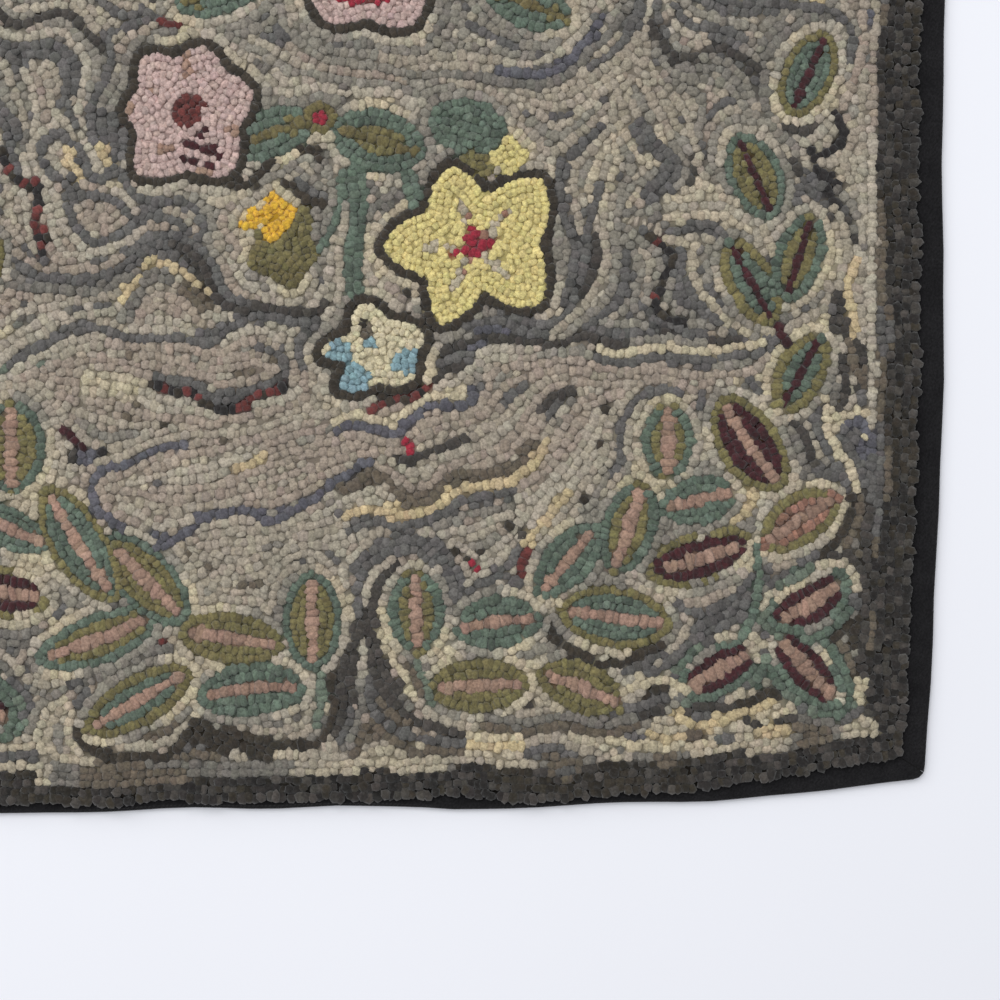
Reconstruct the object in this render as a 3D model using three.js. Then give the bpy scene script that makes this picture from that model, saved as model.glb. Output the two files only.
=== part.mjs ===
// Hooked rug: a burlap foundation hooked with wool loops, its edge bound with a folded dark tape.
// Units are millimetres. +X runs along the short side, +Y along the long side, +Z up through the pile.
// The origin is the centre of the rug's outline, on the surface it lies on.

import * as THREE from 'three';

// Driving dimensions of the outline
const HALF_WIDTH = 306;
const HALF_LENGTH = 457;
const TIP_RADIUS = 5;
const SMALLEST_TIP_RADIUS = 0.6;

// Driving dimensions of the cloth, seen in a cut across the edge. UNDER_RAMP is where the underside
// rises over the tape's inner edge, measured past that edge.
const CLEARANCE = 0.3;
const TAPE_THICKNESS = 1.0;
const FOUNDATION_THICKNESS = 1.6;
const RUG_THICKNESS = 9.0;
const TAPE_UNDER_WIDTH = 30;
const FOLD_BEVEL = 1.4;
const INNER_BEVEL_LESS = 0.4;
const FOLD_ROOM = 0.7;
const UNDER_RAMP = { start: 3, end: 1 };

// Heights of the layers at the edge, from the surface up
const MARGIN_BOTTOM = TAPE_THICKNESS + CLEARANCE;
const MARGIN_TOP = MARGIN_BOTTOM + FOUNDATION_THICKNESS;
const TAPE_TOP = MARGIN_TOP + CLEARANCE + TAPE_THICKNESS;
const FOUNDATION_EDGE = TAPE_THICKNESS + CLEARANCE + FOLD_ROOM;

// How finely the outline is stepped
const STEPS_PER_SIDE = 38;
const TIP_ANGLES = [45, 22.5, 0];

// One row for each side, in the order of a walk round the rug with the rug on the left.
// crown is where the side bows out furthest, measured along the walk from the side's middle.
// dropStart and dropEnd are how far the side draws in towards its two corners, each with its power.
const SIDES = [
  { name: 'near', along: [1, 0], out: [0, -1], reach: HALF_LENGTH, crown: -190,
    dropStart: 6, powerStart: 2.0, dropEnd: 19.5, powerEnd: 3.2, phase: 0.4 },
  { name: 'right', along: [0, 1], out: [1, 0], reach: HALF_WIDTH, crown: 0,
    dropStart: 12.3, powerStart: 2.8, dropEnd: 11, powerEnd: 2.6, phase: 2.1 },
  { name: 'far', along: [-1, 0], out: [0, 1], reach: HALF_LENGTH, crown: 40,
    dropStart: 15, powerStart: 2.8, dropEnd: 14, powerEnd: 2.6, phase: 3.9 },
  { name: 'left', along: [0, -1], out: [-1, 0], reach: HALF_WIDTH, crown: 30,
    dropStart: 12, powerStart: 2.7, dropEnd: 10, powerEnd: 2.5, phase: 5.2 },
];
const HALF_SPAN = { near: HALF_WIDTH, right: HALF_LENGTH, far: HALF_WIDTH, left: HALF_LENGTH };

// Local unevenness of the edge: depth is how far the edge is drawn in around one place along a side.
const DRAWN_IN = [
  { side: 'near', at: -95, width: 55, depth: 2.4 },
  { side: 'near', at: -5, width: 32, depth: 3.0 },
  { side: 'near', at: 24, width: 14, depth: 1.4 },
  { side: 'near', at: 186, width: 24, depth: -1.6 },
  { side: 'right', at: -265, width: 70, depth: -1.3 },
  { side: 'right', at: -95, width: 60, depth: 0.4 },
  { side: 'far', at: 120, width: 60, depth: 2.0 },
  { side: 'left', at: 150, width: 70, depth: 1.8 },
];

// Slow waves that every side has
const EDGE_WAVES = [
  { length: 190, height: 0.5 },
  { length: 74, height: 0.3 },
];

// How much of the tape shows outside the pile, at the start corner, the middle and the end corner of a side
const TAPE_SHOWING = [
  { side: 'near', start: 8, middle: 4.2, end: 13.5 },
  { side: 'right', start: 13.5, middle: 14, end: 13 },
  { side: 'far', start: 13, middle: 9, end: 12 },
  { side: 'left', start: 12, middle: 13, end: 8 },
];
const WIDER_TAPE = { side: 'near', at: 47, width: 16, extra: 5 };
const PILE_EDGE_WAVE = { length: 61, height: 0.7 };

// The pile's shoulder, from its foot beside the tape up to the top.
// past is how far inside the visible tape's inner edge the row lies, height its height above the surface.
const PILE_SHOULDER = [
  { past: 0.45, height: MARGIN_TOP },
  { past: 0.45, height: TAPE_TOP + 0.1 },
  { past: -0.5, height: TAPE_TOP + 1.2 },
  { past: 0.0, height: TAPE_TOP + 2.8 },
  { past: 1.6, height: TAPE_TOP + 4.0 },
  { past: 4.4, height: RUG_THICKNESS - 0.3 },
];

// Rings of the pile's top, each a share of the way from the rug's centre to the shoulder
const TOP_SHARES = [0.94, 0.82, 0.64, 0.44, 0.22];

// Slow swells of the pile's top, in the two directions of the rug
const PILE_SWELLS = [
  { acrossLength: 230, alongLength: 310, height: 0.22, phase: 0.7 },
  { acrossLength: 92, alongLength: 128, height: 0.16, phase: 2.9 },
];

const COLOURS = { pile: 0x8c8172, tape: 0x27262a };

const smooth = (t) => {
  const c = Math.min(1, Math.max(0, t));
  return c * c * (3 - 2 * c);
};
const bump = (x, at, width) => Math.exp(-(((x - at) / width) ** 2));

// How far a side reaches out from the rug's centre line at one place along its walk
function sideReach(side, along) {
  const half = HALF_SPAN[side.name];
  const toCrown = along - side.crown;
  const drop = toCrown < 0
    ? side.dropStart * (-toCrown / (side.crown + half)) ** side.powerStart
    : side.dropEnd * (toCrown / (half - side.crown)) ** side.powerEnd;
  const drawn = DRAWN_IN.filter((d) => d.side === side.name)
    .reduce((sum, d) => sum + d.depth * bump(along, d.at, d.width), 0);
  const wave = EDGE_WAVES.reduce(
    (sum, w) => sum + w.height * Math.sin((2 * Math.PI * along) / w.length + side.phase), 0);
  return side.reach - drop - drawn + wave;
}

const place = (side, along, out) => [
  side.along[0] * along + side.out[0] * out,
  side.along[1] * along + side.out[1] * out,
];
const alongOf = (side, p) => side.along[0] * p[0] + side.along[1] * p[1];
const outOf = (side, p) => side.out[0] * p[0] + side.out[1] * p[1];

// The sharp corner where two neighbouring sides meet, each drawn in by its own inset
function corner(before, after, insetBefore, insetAfter) {
  let p = place(before, HALF_SPAN[before.name], before.reach);
  for (let pass = 0; pass < 8; pass += 1) {
    const outBefore = sideReach(before, alongOf(before, p)) - insetBefore;
    const outAfter = sideReach(after, alongOf(after, p)) - insetAfter;
    p = [
      before.out[0] * outBefore + after.out[0] * outAfter,
      before.out[1] * outBefore + after.out[1] * outAfter,
    ];
  }
  return p;
}

// How much tape shows at one place along a side
function tapeShowing(side, along) {
  const row = TAPE_SHOWING.find((r) => r.side === side.name);
  const half = HALF_SPAN[side.name];
  const t = along / half;
  const ends = t < 0 ? row.start : row.end;
  const even = row.middle + (ends - row.middle) * smooth((Math.abs(t) - 0.35) / 0.6);
  const wider = WIDER_TAPE.side === side.name
    ? WIDER_TAPE.extra * bump(along, WIDER_TAPE.at, WIDER_TAPE.width)
    : 0;
  const fade = smooth((1 - Math.abs(t)) / 0.1);
  const wave = PILE_EDGE_WAVE.height * Math.sin((2 * Math.PI * along) / PILE_EDGE_WAVE.length + side.phase);
  return even + wider + wave * fade;
}

// One side's line, drawn in from the edge by inset(side, along), from one corner tip to the next
function sideLine(index, inset) {
  const side = SIDES[index];
  const before = SIDES[(index + 3) % 4];
  const after = SIDES[(index + 1) % 4];
  const half = HALF_SPAN[side.name];
  const insetStart = inset(side, -half);
  const insetEnd = inset(side, half);
  const first = alongOf(side, corner(before, side, inset(before, HALF_SPAN[before.name]), insetStart));
  const last = alongOf(side, corner(side, after, insetEnd, inset(after, -HALF_SPAN[after.name])));
  const line = [];
  const addPoint = (along, extraInset) => {
    line.push(place(side, along, sideReach(side, along) - inset(side, along) - extraInset));
  };
  const roundStart = Math.max(TIP_RADIUS - insetStart, SMALLEST_TIP_RADIUS);
  const roundEnd = Math.max(TIP_RADIUS - insetEnd, SMALLEST_TIP_RADIUS);
  for (const degrees of TIP_ANGLES) {
    const angle = THREE.MathUtils.degToRad(degrees);
    addPoint(first + roundStart * (1 - Math.sin(angle)), roundStart * (1 - Math.cos(angle)));
  }
  for (let step = 1; step < STEPS_PER_SIDE; step += 1) {
    addPoint(THREE.MathUtils.lerp(first + roundStart, last - roundEnd, step / STEPS_PER_SIDE), 0);
  }
  for (const degrees of [...TIP_ANGLES].reverse()) {
    const angle = THREE.MathUtils.degToRad(degrees);
    addPoint(last - roundEnd * (1 - Math.sin(angle)), roundEnd * (1 - Math.cos(angle)));
  }
  return line;
}

// A closed loop round the whole rug; where two sides meet, their two tips become one point
function loopRound(inset) {
  const lines = SIDES.map((side, index) => sideLine(index, inset));
  return lines.flatMap((line, index) => {
    const previous = lines[(index + 3) % 4];
    const tip = [0, 1].map((k) => (line[0][k] + previous[previous.length - 1][k]) / 2);
    return [tip, ...line.slice(1, -1)];
  });
}

// The centre of the outline's box, which every point is measured from
const OUTLINE_CENTRE = (() => {
  const box = new THREE.Box2();
  loopRound(() => 0).forEach(([x, y]) => box.expandByPoint(new THREE.Vector2(x, y)));
  return box.getCenter(new THREE.Vector2());
})();

const toPoint = ([x, y], z) => new THREE.Vector3(x - OUTLINE_CENTRE.x, y - OUTLINE_CENTRE.y, z);

function swell(x, y) {
  return PILE_SWELLS.reduce((sum, s) => sum + s.height
    * Math.sin((2 * Math.PI * x) / s.acrossLength + s.phase)
    * Math.cos((2 * Math.PI * y) / s.alongLength + s.phase), 0);
}

// A body with faces turned out, from points and triangles of point numbers
function solidFrom(points, triangles) {
  const geometry = new THREE.BufferGeometry();
  geometry.setAttribute('position', new THREE.Float32BufferAttribute(points.flatMap((p) => p.toArray()), 3));
  geometry.setIndex(triangles.flat());
  geometry.computeVertexNormals();
  return geometry;
}

// Two triangles for each step between two rows of equal length
function bridge(triangles, rowA, rowB, closed) {
  const count = rowA.length;
  for (let i = 0; i < (closed ? count : count - 1); i += 1) {
    const j = (i + 1) % count;
    triangles.push([rowA[i], rowA[j], rowB[j]], [rowA[i], rowB[j], rowB[i]]);
  }
}

// Fills a flat outline with triangles that run the way the outline does, or the other way if turned
function cap(triangles, outline, numbers, turned) {
  const sign = Math.sign(THREE.ShapeUtils.area(outline));
  for (const [a, b, c] of THREE.ShapeUtils.triangulateShape(outline, [])) {
    const same = Math.sign(THREE.ShapeUtils.area([outline[a], outline[b], outline[c]])) === sign;
    const [second, third] = same !== turned ? [b, c] : [c, b];
    triangles.push([numbers[a], numbers[second], numbers[third]]);
  }
}

// The hooked field: a flat underside, a thin margin inside the tape, the pile's shoulder and its top
function hookedField() {
  const even = (distance) => () => distance;
  const besideTape = (past) => (side, along) => tapeShowing(side, along) + past;
  const rings = [
    { loop: loopRound(even(TAPE_UNDER_WIDTH + UNDER_RAMP.start)), height: 0 },
    { loop: loopRound(even(TAPE_UNDER_WIDTH + UNDER_RAMP.end)), height: MARGIN_BOTTOM },
    { loop: loopRound(even(FOUNDATION_EDGE)), height: MARGIN_BOTTOM },
    { loop: loopRound(even(FOUNDATION_EDGE)), height: MARGIN_TOP },
    ...PILE_SHOULDER.map(({ past, height }) => ({ loop: loopRound(besideTape(past)), height })),
  ].map(({ loop, height }) => loop.map((p) => toPoint(p, height)));
  const shoulder = rings[rings.length - 1];
  for (const share of TOP_SHARES) {
    rings.push(shoulder.map((p) => {
      const [x, y] = [p.x * share, p.y * share];
      return new THREE.Vector3(x, y, RUG_THICKNESS + swell(x, y));
    }));
  }
  const points = rings.flat();
  const rows = rings.map((ring, r) => ring.map((p, i) => r * ring.length + i));
  const triangles = [];
  rows.slice(1).forEach((row, r) => bridge(triangles, rows[r], row, true));
  cap(triangles, rings[0].map((p) => new THREE.Vector2(p.x, p.y)), rows[0], true);
  const top = rows[rows.length - 1];
  points.push(new THREE.Vector3(0, 0, RUG_THICKNESS + swell(0, 0)));
  top.forEach((point, i) => triangles.push([point, top[(i + 1) % top.length], points.length - 1]));
  return solidFrom(points, triangles);
}

// The tape's cut section: a wide leg under the rug, a bend round the edge and a narrow leg beside the pile.
// inset gives how far each point lies inside the rug's edge.
function tapeSection() {
  const inner = TAPE_THICKNESS;
  const innerBevel = FOLD_BEVEL - INNER_BEVEL_LESS * TAPE_THICKNESS;
  const under = (distance) => () => distance;
  const above = (side, along) => tapeShowing(side, along);
  return [
    { inset: under(TAPE_UNDER_WIDTH), height: 0 },
    { inset: under(FOLD_BEVEL), height: 0 },
    { inset: under(0), height: FOLD_BEVEL },
    { inset: under(0), height: TAPE_TOP - FOLD_BEVEL },
    { inset: under(FOLD_BEVEL), height: TAPE_TOP },
    { inset: above, height: TAPE_TOP },
    { inset: above, height: TAPE_TOP - TAPE_THICKNESS },
    { inset: under(inner + innerBevel), height: TAPE_TOP - TAPE_THICKNESS },
    { inset: under(inner), height: TAPE_TOP - TAPE_THICKNESS - innerBevel },
    { inset: under(inner), height: TAPE_THICKNESS + innerBevel },
    { inset: under(inner + innerBevel), height: TAPE_THICKNESS },
    { inset: under(TAPE_UNDER_WIDTH), height: TAPE_THICKNESS },
  ];
}

// One length of binding tape, mitred at both ends with half the clearance on its side of each mitre
function bindingTape(index) {
  const side = SIDES[index];
  const cutBack = CLEARANCE * Math.SQRT1_2;
  const rows = tapeSection().map(({ inset, height }) => {
    const line = sideLine(index, inset).map((p) => toPoint(p, height));
    line[0].x += side.along[0] * cutBack;
    line[0].y += side.along[1] * cutBack;
    line[line.length - 1].x -= side.along[0] * cutBack;
    line[line.length - 1].y -= side.along[1] * cutBack;
    return line;
  });
  const points = rows.flat();
  const numbers = rows.map((row, r) => row.map((p, i) => r * row.length + i));
  const triangles = [];
  numbers.forEach((row, r) => bridge(triangles, row, numbers[(r + 1) % numbers.length], false));
  const section = tapeSection().map(({ inset, height }) => new THREE.Vector2(inset(side, 0), height));
  cap(triangles, section, numbers.map((row) => row[0]), false);
  cap(triangles, section, numbers.map((row) => row[row.length - 1]), true);
  return solidFrom(points, triangles);
}

function finish(colour, roughness) {
  return new THREE.MeshStandardMaterial({ color: colour, roughness, metalness: 0 });
}

const group = new THREE.Group();

const field = new THREE.Mesh(hookedField(), finish(COLOURS.pile, 0.95));
field.name = 'hooked_field';
group.add(field);

SIDES.forEach((side, index) => {
  const tape = new THREE.Mesh(bindingTape(index), finish(COLOURS.tape, 0.9));
  tape.name = `binding_${side.name}`;
  group.add(tape);
});

export default group;
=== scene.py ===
"""Hooked rug: a burlap foundation hooked with wool loops in rows, its edge bound with a folded dark tape.

The design is drawn in millimetres from the rug's centre, X across and Y along its length. Rows hooked first
keep their place: the border, then flowers, leaves, stems and drawn lines, then the rows that follow flowers
and leaves, and last the rows that fill the ground between.
"""

import logging
import math
from collections import deque
from dataclasses import dataclass, field, replace
from enum import Enum
from typing import Callable, Iterator, Optional, Union

import bmesh
import bpy
import numpy as np
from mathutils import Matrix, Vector, kdtree


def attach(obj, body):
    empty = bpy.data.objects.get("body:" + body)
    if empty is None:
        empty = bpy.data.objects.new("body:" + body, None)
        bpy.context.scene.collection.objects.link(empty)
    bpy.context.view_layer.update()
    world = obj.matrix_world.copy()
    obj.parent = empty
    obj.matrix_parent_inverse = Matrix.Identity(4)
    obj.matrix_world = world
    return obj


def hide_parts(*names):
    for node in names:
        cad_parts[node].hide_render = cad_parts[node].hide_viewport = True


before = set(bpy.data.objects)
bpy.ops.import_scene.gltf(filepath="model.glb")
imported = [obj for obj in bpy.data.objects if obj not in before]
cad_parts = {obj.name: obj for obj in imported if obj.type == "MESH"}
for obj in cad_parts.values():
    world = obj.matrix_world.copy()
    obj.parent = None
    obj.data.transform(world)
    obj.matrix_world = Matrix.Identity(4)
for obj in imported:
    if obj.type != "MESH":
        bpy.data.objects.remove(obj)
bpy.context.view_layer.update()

LOG = logging.getLogger("hooked_rug")
MM = 0.001
SEED = 41
TINY = 1e-9

Point = tuple[float, float]


class Wool(Enum):
    """Dyed wools: red, green and blue as seen, from 0 to 255, and how far loops of it differ."""

    TAUPE = (153, 144, 129, 0.07)
    STONE = (160, 152, 137, 0.07)
    MUSHROOM = (149, 137, 124, 0.08)
    DOVE = (129, 124, 114, 0.09)
    ASH = (110, 106, 99, 0.11)
    SLATE = (91, 89, 87, 0.13)
    BLUE_SLATE = (87, 86, 93, 0.12)
    CHARCOAL = (63, 59, 55, 0.18)
    EDGE = (37, 34, 32, 0.5)
    EDGE_BROWN = (44, 39, 31, 0.5)
    SOOT = (52, 46, 38, 0.15)
    BLACK = (36, 33, 33, 0.10)
    BARK = (95, 86, 74, 0.11)
    OATMEAL = (168, 158, 138, 0.08)
    CREAM = (178, 167, 142, 0.08)
    STRAW = (182, 165, 131, 0.10)
    TEAL = (88, 101, 89, 0.16)
    SAGE = (98, 108, 95, 0.14)
    OLIVE = (109, 102, 67, 0.13)
    MOSS = (100, 92, 60, 0.12)
    PINK = (147, 120, 105, 0.12)
    ROSEWOOD = (136, 101, 86, 0.24)
    SHELL = (180, 157, 151, 0.06)
    MAROON = (60, 27, 31, 0.18)
    BRICK = (97, 48, 45, 0.16)
    RED = (142, 36, 53, 0.10)
    YELLOW = (204, 190, 128, 0.05)
    GOLD = (206, 163, 54, 0.06)
    SKY = (126, 154, 162, 0.07)
    IVORY = (198, 188, 158, 0.05)

    def linear(self) -> np.ndarray:
        """The wool's colour in linear light, from 0 to 1."""
        seen = np.array(self.value[:3]) / 255.0
        return np.where(seen <= 0.04045, seen / 12.92, ((seen + 0.055) / 1.055) ** 2.4)


Paint = Union[Wool, Callable[[float, float], Wool]]


def wool_at(paint: Paint, x: float, y: float) -> Wool:
    """Picks the wool that a paint gives a loop.

    Args:
        paint: one wool, or a function that picks one by its place.
        x: across in millimetres.
        y: along in millimetres.

    Returns:
        The wool.
    """
    return paint if isinstance(paint, Wool) else paint(x, y)


class Group(Enum):
    """The pieces that the pile is made in."""

    BORDER = "pile_border"
    GARLAND = "pile_garland"
    SPRAY = "pile_spray"
    GROUND = "pile_ground"


@dataclass(frozen=True)
class Hooking:
    """How the rows are hooked: sizes in millimetres, and how close rows may come as a share of the usual."""

    row_width: float = 5.0
    pitch: float = 3.8
    leaf_width: float = 4.5
    leaf_pitch: float = 3.1
    vein_pitch: float = 3.8
    petal_width: float = 3.8
    petal_pitch: float = 2.9
    outline_width: float = 4.6
    outline_pitch: float = 3.4
    border_width: float = 4.3
    border_pitch: float = 3.8
    border_start: float = 0.42
    border_worn: tuple[float, ...] = (0.0, 0.0, 0.1, 0.3, 0.62)
    side_by_side: float = 0.96
    new_rows: float = 0.9
    closest_rows: float = 0.76
    clip_rows: float = 0.66
    plug_rows: float = 0.62
    step: float = 1.5
    shortest_row: float = 5.0


HOOKING = Hooking()


@dataclass(frozen=True)
class Pile:
    """The loops of the pile: heights in millimetres, and shares by which loops differ from one another.

    Long and wide are a loop's usual size, as a share of its room, and how far loops differ. Widest to abreast
    say how a loop settles: its limits, how far off neighbours are looked for, and which of them lie beside it.
    """

    foot: float = 2.85
    top: float = 8.75
    uneven: float = 0.5
    lean: float = 0.4
    loose: float = 0.55
    twist: float = 0.3
    dent: float = 0.12
    crown: float = 0.055
    long: Point = (1.13, 0.1)
    wide: Point = (1.11, 0.08)
    widest: float = 1.22
    narrowest: float = 0.62
    look: float = 9.0
    own_row: float = 1.7
    abreast: Point = (0.62, 0.8)
    tint: float = 0.035
    hue: float = 0.014
    shade: Point = (0.6, 1.4)
    mottled: float = 0.08


PILE = Pile()


class Drift:
    """Smooth random values over the rug, from 0 to 1, made once from a seed."""

    def __init__(self, seed: int, size: float, cells: int = 64) -> None:
        """Makes the lattice.

        Args:
            seed: the seed of its values.
            size: the width of one cell in millimetres.
            cells: the number of cells before the pattern comes again.
        """
        self.size = size
        self.cells = cells
        self.values = np.random.default_rng(seed).random((cells, cells)).tolist()

    def at(self, x: float, y: float) -> float:
        """The value at a point.

        Args:
            x: across the rug.
            y: along the rug.

        Returns:
            A number from 0 to 1.
        """
        u, v = x / self.size + 500.0, y / self.size + 500.0
        i, j = int(u), int(v)
        s, t = u - i, v - j
        s, t = s * s * (3 - 2 * s), t * t * (3 - 2 * t)
        i, j, n = i % self.cells, j % self.cells, self.cells
        a, b = self.values[i], self.values[(i + 1) % n]
        low = a[j] + (b[j] - a[j]) * s
        high = a[(j + 1) % n] + (b[(j + 1) % n] - a[(j + 1) % n]) * s
        return low + (high - low) * t


DRIFT = Drift(SEED, 42.0)
FLECKS = Drift(SEED + 1, 30.0)


def spread_along(path: np.ndarray, step: float, closed: bool = False) -> np.ndarray:
    """Evenly spaced points along a path.

    Args:
        path: points in millimetres, one row each.
        step: the wanted spacing.
        closed: whether the last point joins the first.

    Returns:
        The new points, without the first one repeated at the end of a closed path.
    """
    points = np.vstack([path, path[:1]]) if closed else path
    along = np.concatenate([[0.0], np.cumsum(np.linalg.norm(np.diff(points, axis=0), axis=1))])
    count = max(2, int(round(along[-1] / step)) + (0 if closed else 1))
    at = np.linspace(0.0, along[-1], count, endpoint=not closed)
    return np.stack([np.interp(at, along, points[:, k]) for k in range(2)], axis=1)


def smooth_path(points: list[Point], step: float = 1.5) -> np.ndarray:
    """A smooth curve through a few points.

    Args:
        points: the points in millimetres.
        step: the spacing of the points returned.

    Returns:
        Points along a Catmull-Rom curve.
    """
    p = np.array(points, dtype=float)
    p = np.vstack([2 * p[0] - p[1], p, 2 * p[-1] - p[-2]])
    pieces = []
    t = np.linspace(0, 1, 12, endpoint=False)[:, None]
    for a, b, c, d in zip(p, p[1:], p[2:], p[3:]):
        pieces.append(0.5 * (2 * b + (c - a) * t + (2 * a - 5 * b + 4 * c - d) * t**2
                             + (3 * b - a - 3 * c + d) * t**3))
    return spread_along(np.vstack(pieces + [p[-2:-1]]), step)


def unit(vectors: np.ndarray) -> np.ndarray:
    """Vectors made one long.

    Args:
        vectors: the vectors, one row each.

    Returns:
        The directions.
    """
    return vectors / np.maximum(np.linalg.norm(vectors, axis=1, keepdims=True), TINY)


def moved_in(outline: np.ndarray, distance: float, step: float = 1.2, slack: float = 0.3,
             fewest: int = 5) -> Optional[np.ndarray]:
    """A closed outline moved in by a distance, or out if it is negative.

    Args:
        outline: the closed outline, counter-clockwise, in millimetres.
        distance: how far it is moved.
        step: the spacing of the points returned.
        slack: how much nearer to the outline a point may come before it is dropped.
        fewest: how many points an outline has at least.

    Returns:
        The moved outline, or None where nothing is left of it.
    """
    p = spread_along(outline, step, closed=True)
    tangent = unit(np.roll(p, -1, axis=0) - np.roll(p, 1, axis=0))
    moved = p + np.stack([-tangent[:, 1], tangent[:, 0]], axis=1) * distance
    at_once = 400
    nearest = np.concatenate([
        np.sqrt(((part[:, None, :] - p[None, :, :]) ** 2).sum(axis=2)).min(axis=1)
        for part in np.array_split(moved, max(1, len(moved) // at_once))
    ])
    kept = moved[nearest >= abs(distance) - slack]
    if len(kept) < fewest:
        return None
    again = spread_along(kept, step, closed=True)
    return again if len(again) >= fewest else None


def turned(points: np.ndarray, degrees: float) -> np.ndarray:
    """Points turned about the origin.

    Args:
        points: points, one row each.
        degrees: the turn, counter-clockwise.

    Returns:
        The turned points.
    """
    c, s = math.cos(math.radians(degrees)), math.sin(math.radians(degrees))
    return points @ np.array([[c, s], [-s, c]])


@dataclass
class Row:
    """One hooked row."""

    path: np.ndarray
    paint: Paint
    group: Group
    width: float = HOOKING.row_width
    pitch: float = HOOKING.pitch
    closed: bool = False


class LeafKind(Enum):
    """The wools of a leaf: its rings from the outside in, its vein, the vein's width, and its echo."""

    GREEN = ((Wool.TEAL, Wool.OLIVE), Wool.PINK, 8.0, None)
    TEAL = ((Wool.TEAL,), Wool.PINK, 7.0, None)
    OLIVE = ((Wool.OLIVE,), Wool.PINK, 7.6, None)
    OLIVE_TEAL = ((Wool.OLIVE, Wool.TEAL), Wool.PINK, 7.0, None)
    WINE_OLIVE = ((Wool.OLIVE, Wool.MAROON), Wool.PINK, 6.8, None)
    WINE = ((Wool.MAROON,), Wool.PINK, 8.6, Wool.OLIVE)
    WINE_TEAL = ((Wool.MAROON,), Wool.PINK, 8.6, Wool.TEAL)
    BROWN = ((Wool.OLIVE, Wool.ROSEWOOD), Wool.PINK, 7.4, None)
    VINE = ((Wool.TEAL, Wool.OLIVE), Wool.MAROON, 4.6, None)
    VINE_OLIVE = ((Wool.OLIVE, Wool.TEAL), Wool.MAROON, 4.8, None)
    SPRAY = ((Wool.TEAL, Wool.TEAL, Wool.OLIVE), Wool.MOSS, 6.0, None)
    SHADE = ((Wool.TEAL,), Wool.TEAL, 5.0, None)


@dataclass(frozen=True)
class Leaf:
    """A pointed oval leaf: rings of loops round a vein, with a pale row outside."""

    x: float
    y: float
    length: float
    width: float
    turn: float
    kind: LeafKind
    bend: float = 0.0
    group: Group = Group.GARLAND
    point: float = 0.58
    vein: tuple[float, ...] = (-0.37, -0.1, 0.14, 0.38)

    def outline(self) -> np.ndarray:
        """Draws the leaf's outline.

        Returns:
            Points on the rug, counter-clockwise.
        """
        t = np.linspace(0, 2 * math.pi, 90, endpoint=False)
        u, side = np.cos(t), np.sign(np.sin(t))
        across = side * np.maximum(1 - u**2, 0) ** self.point * self.width / 2
        return self.place(np.stack([u * self.length / 2, across], axis=1))

    def place(self, points: np.ndarray) -> np.ndarray:
        """Bends and turns points of the leaf and puts them in their place.

        Args:
            points: points along and across the leaf.

        Returns:
            The points on the rug.
        """
        bent = points.copy()
        bent[:, 1] += self.bend * (1 - (2 * points[:, 0] / self.length) ** 2)
        return turned(bent, self.turn) + [self.x, self.y]

    def rows(self) -> Iterator[Row]:
        """Draws the leaf's rows.

        Yields:
            The vein, then the rings from the outside in.
        """
        rings, vein, vein_width, _ = self.kind.value
        line = np.array([[share * self.length, 0.0] for share in self.vein])
        path = smooth_path([tuple(p) for p in self.place(line)])
        yield Row(path, vein, self.group, vein_width, HOOKING.vein_pitch)
        count = max(1, round((self.width - vein_width) / 2 / HOOKING.leaf_width))
        wide = (self.width - vein_width) / 2 / count
        for number in range(count):
            path = moved_in(self.outline(), (number + 0.5) * wide)
            if path is not None:
                wool = rings[min(number, len(rings) - 1)]
                yield Row(path, wool, self.group, wide, HOOKING.leaf_pitch, True)

    def paint(self, x: float, y: float) -> Wool:
        """The wool of a loop that fills a gap in the leaf."""
        return self.kind.value[0][-1]

    def echo_paint(self, x: float, y: float) -> Wool:
        """The wool of the echo, which comes and goes round the leaf."""
        tone = DRIFT.at(2.6 * x + 50, 2.6 * y)
        return self.kind.value[3] if tone > 0.3 else halo_wool(x, y)

    def halo(self) -> Iterator[Row]:
        """Draws what lies round the leaf.

        Yields:
            The leaf's echo, if it has one, then the pale row.
        """
        out = 0.5
        if self.kind.value[3] is not None:
            path = moved_in(self.outline(), -0.5 * HOOKING.leaf_width)
            yield Row(path, self.echo_paint, self.group, HOOKING.leaf_width, HOOKING.leaf_pitch, True)
            out = 1.4
        path = moved_in(self.outline(), -out * HOOKING.row_width)
        paint = dusky_halo if self.kind is LeafKind.WINE_TEAL else halo_wool
        yield Row(path, paint, Group.GROUND, closed=True)

    def opposite(self) -> "Leaf":
        """The same leaf with the rug turned half round."""
        return replace(self, x=-self.x, y=-self.y, turn=self.turn + 180)


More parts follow.
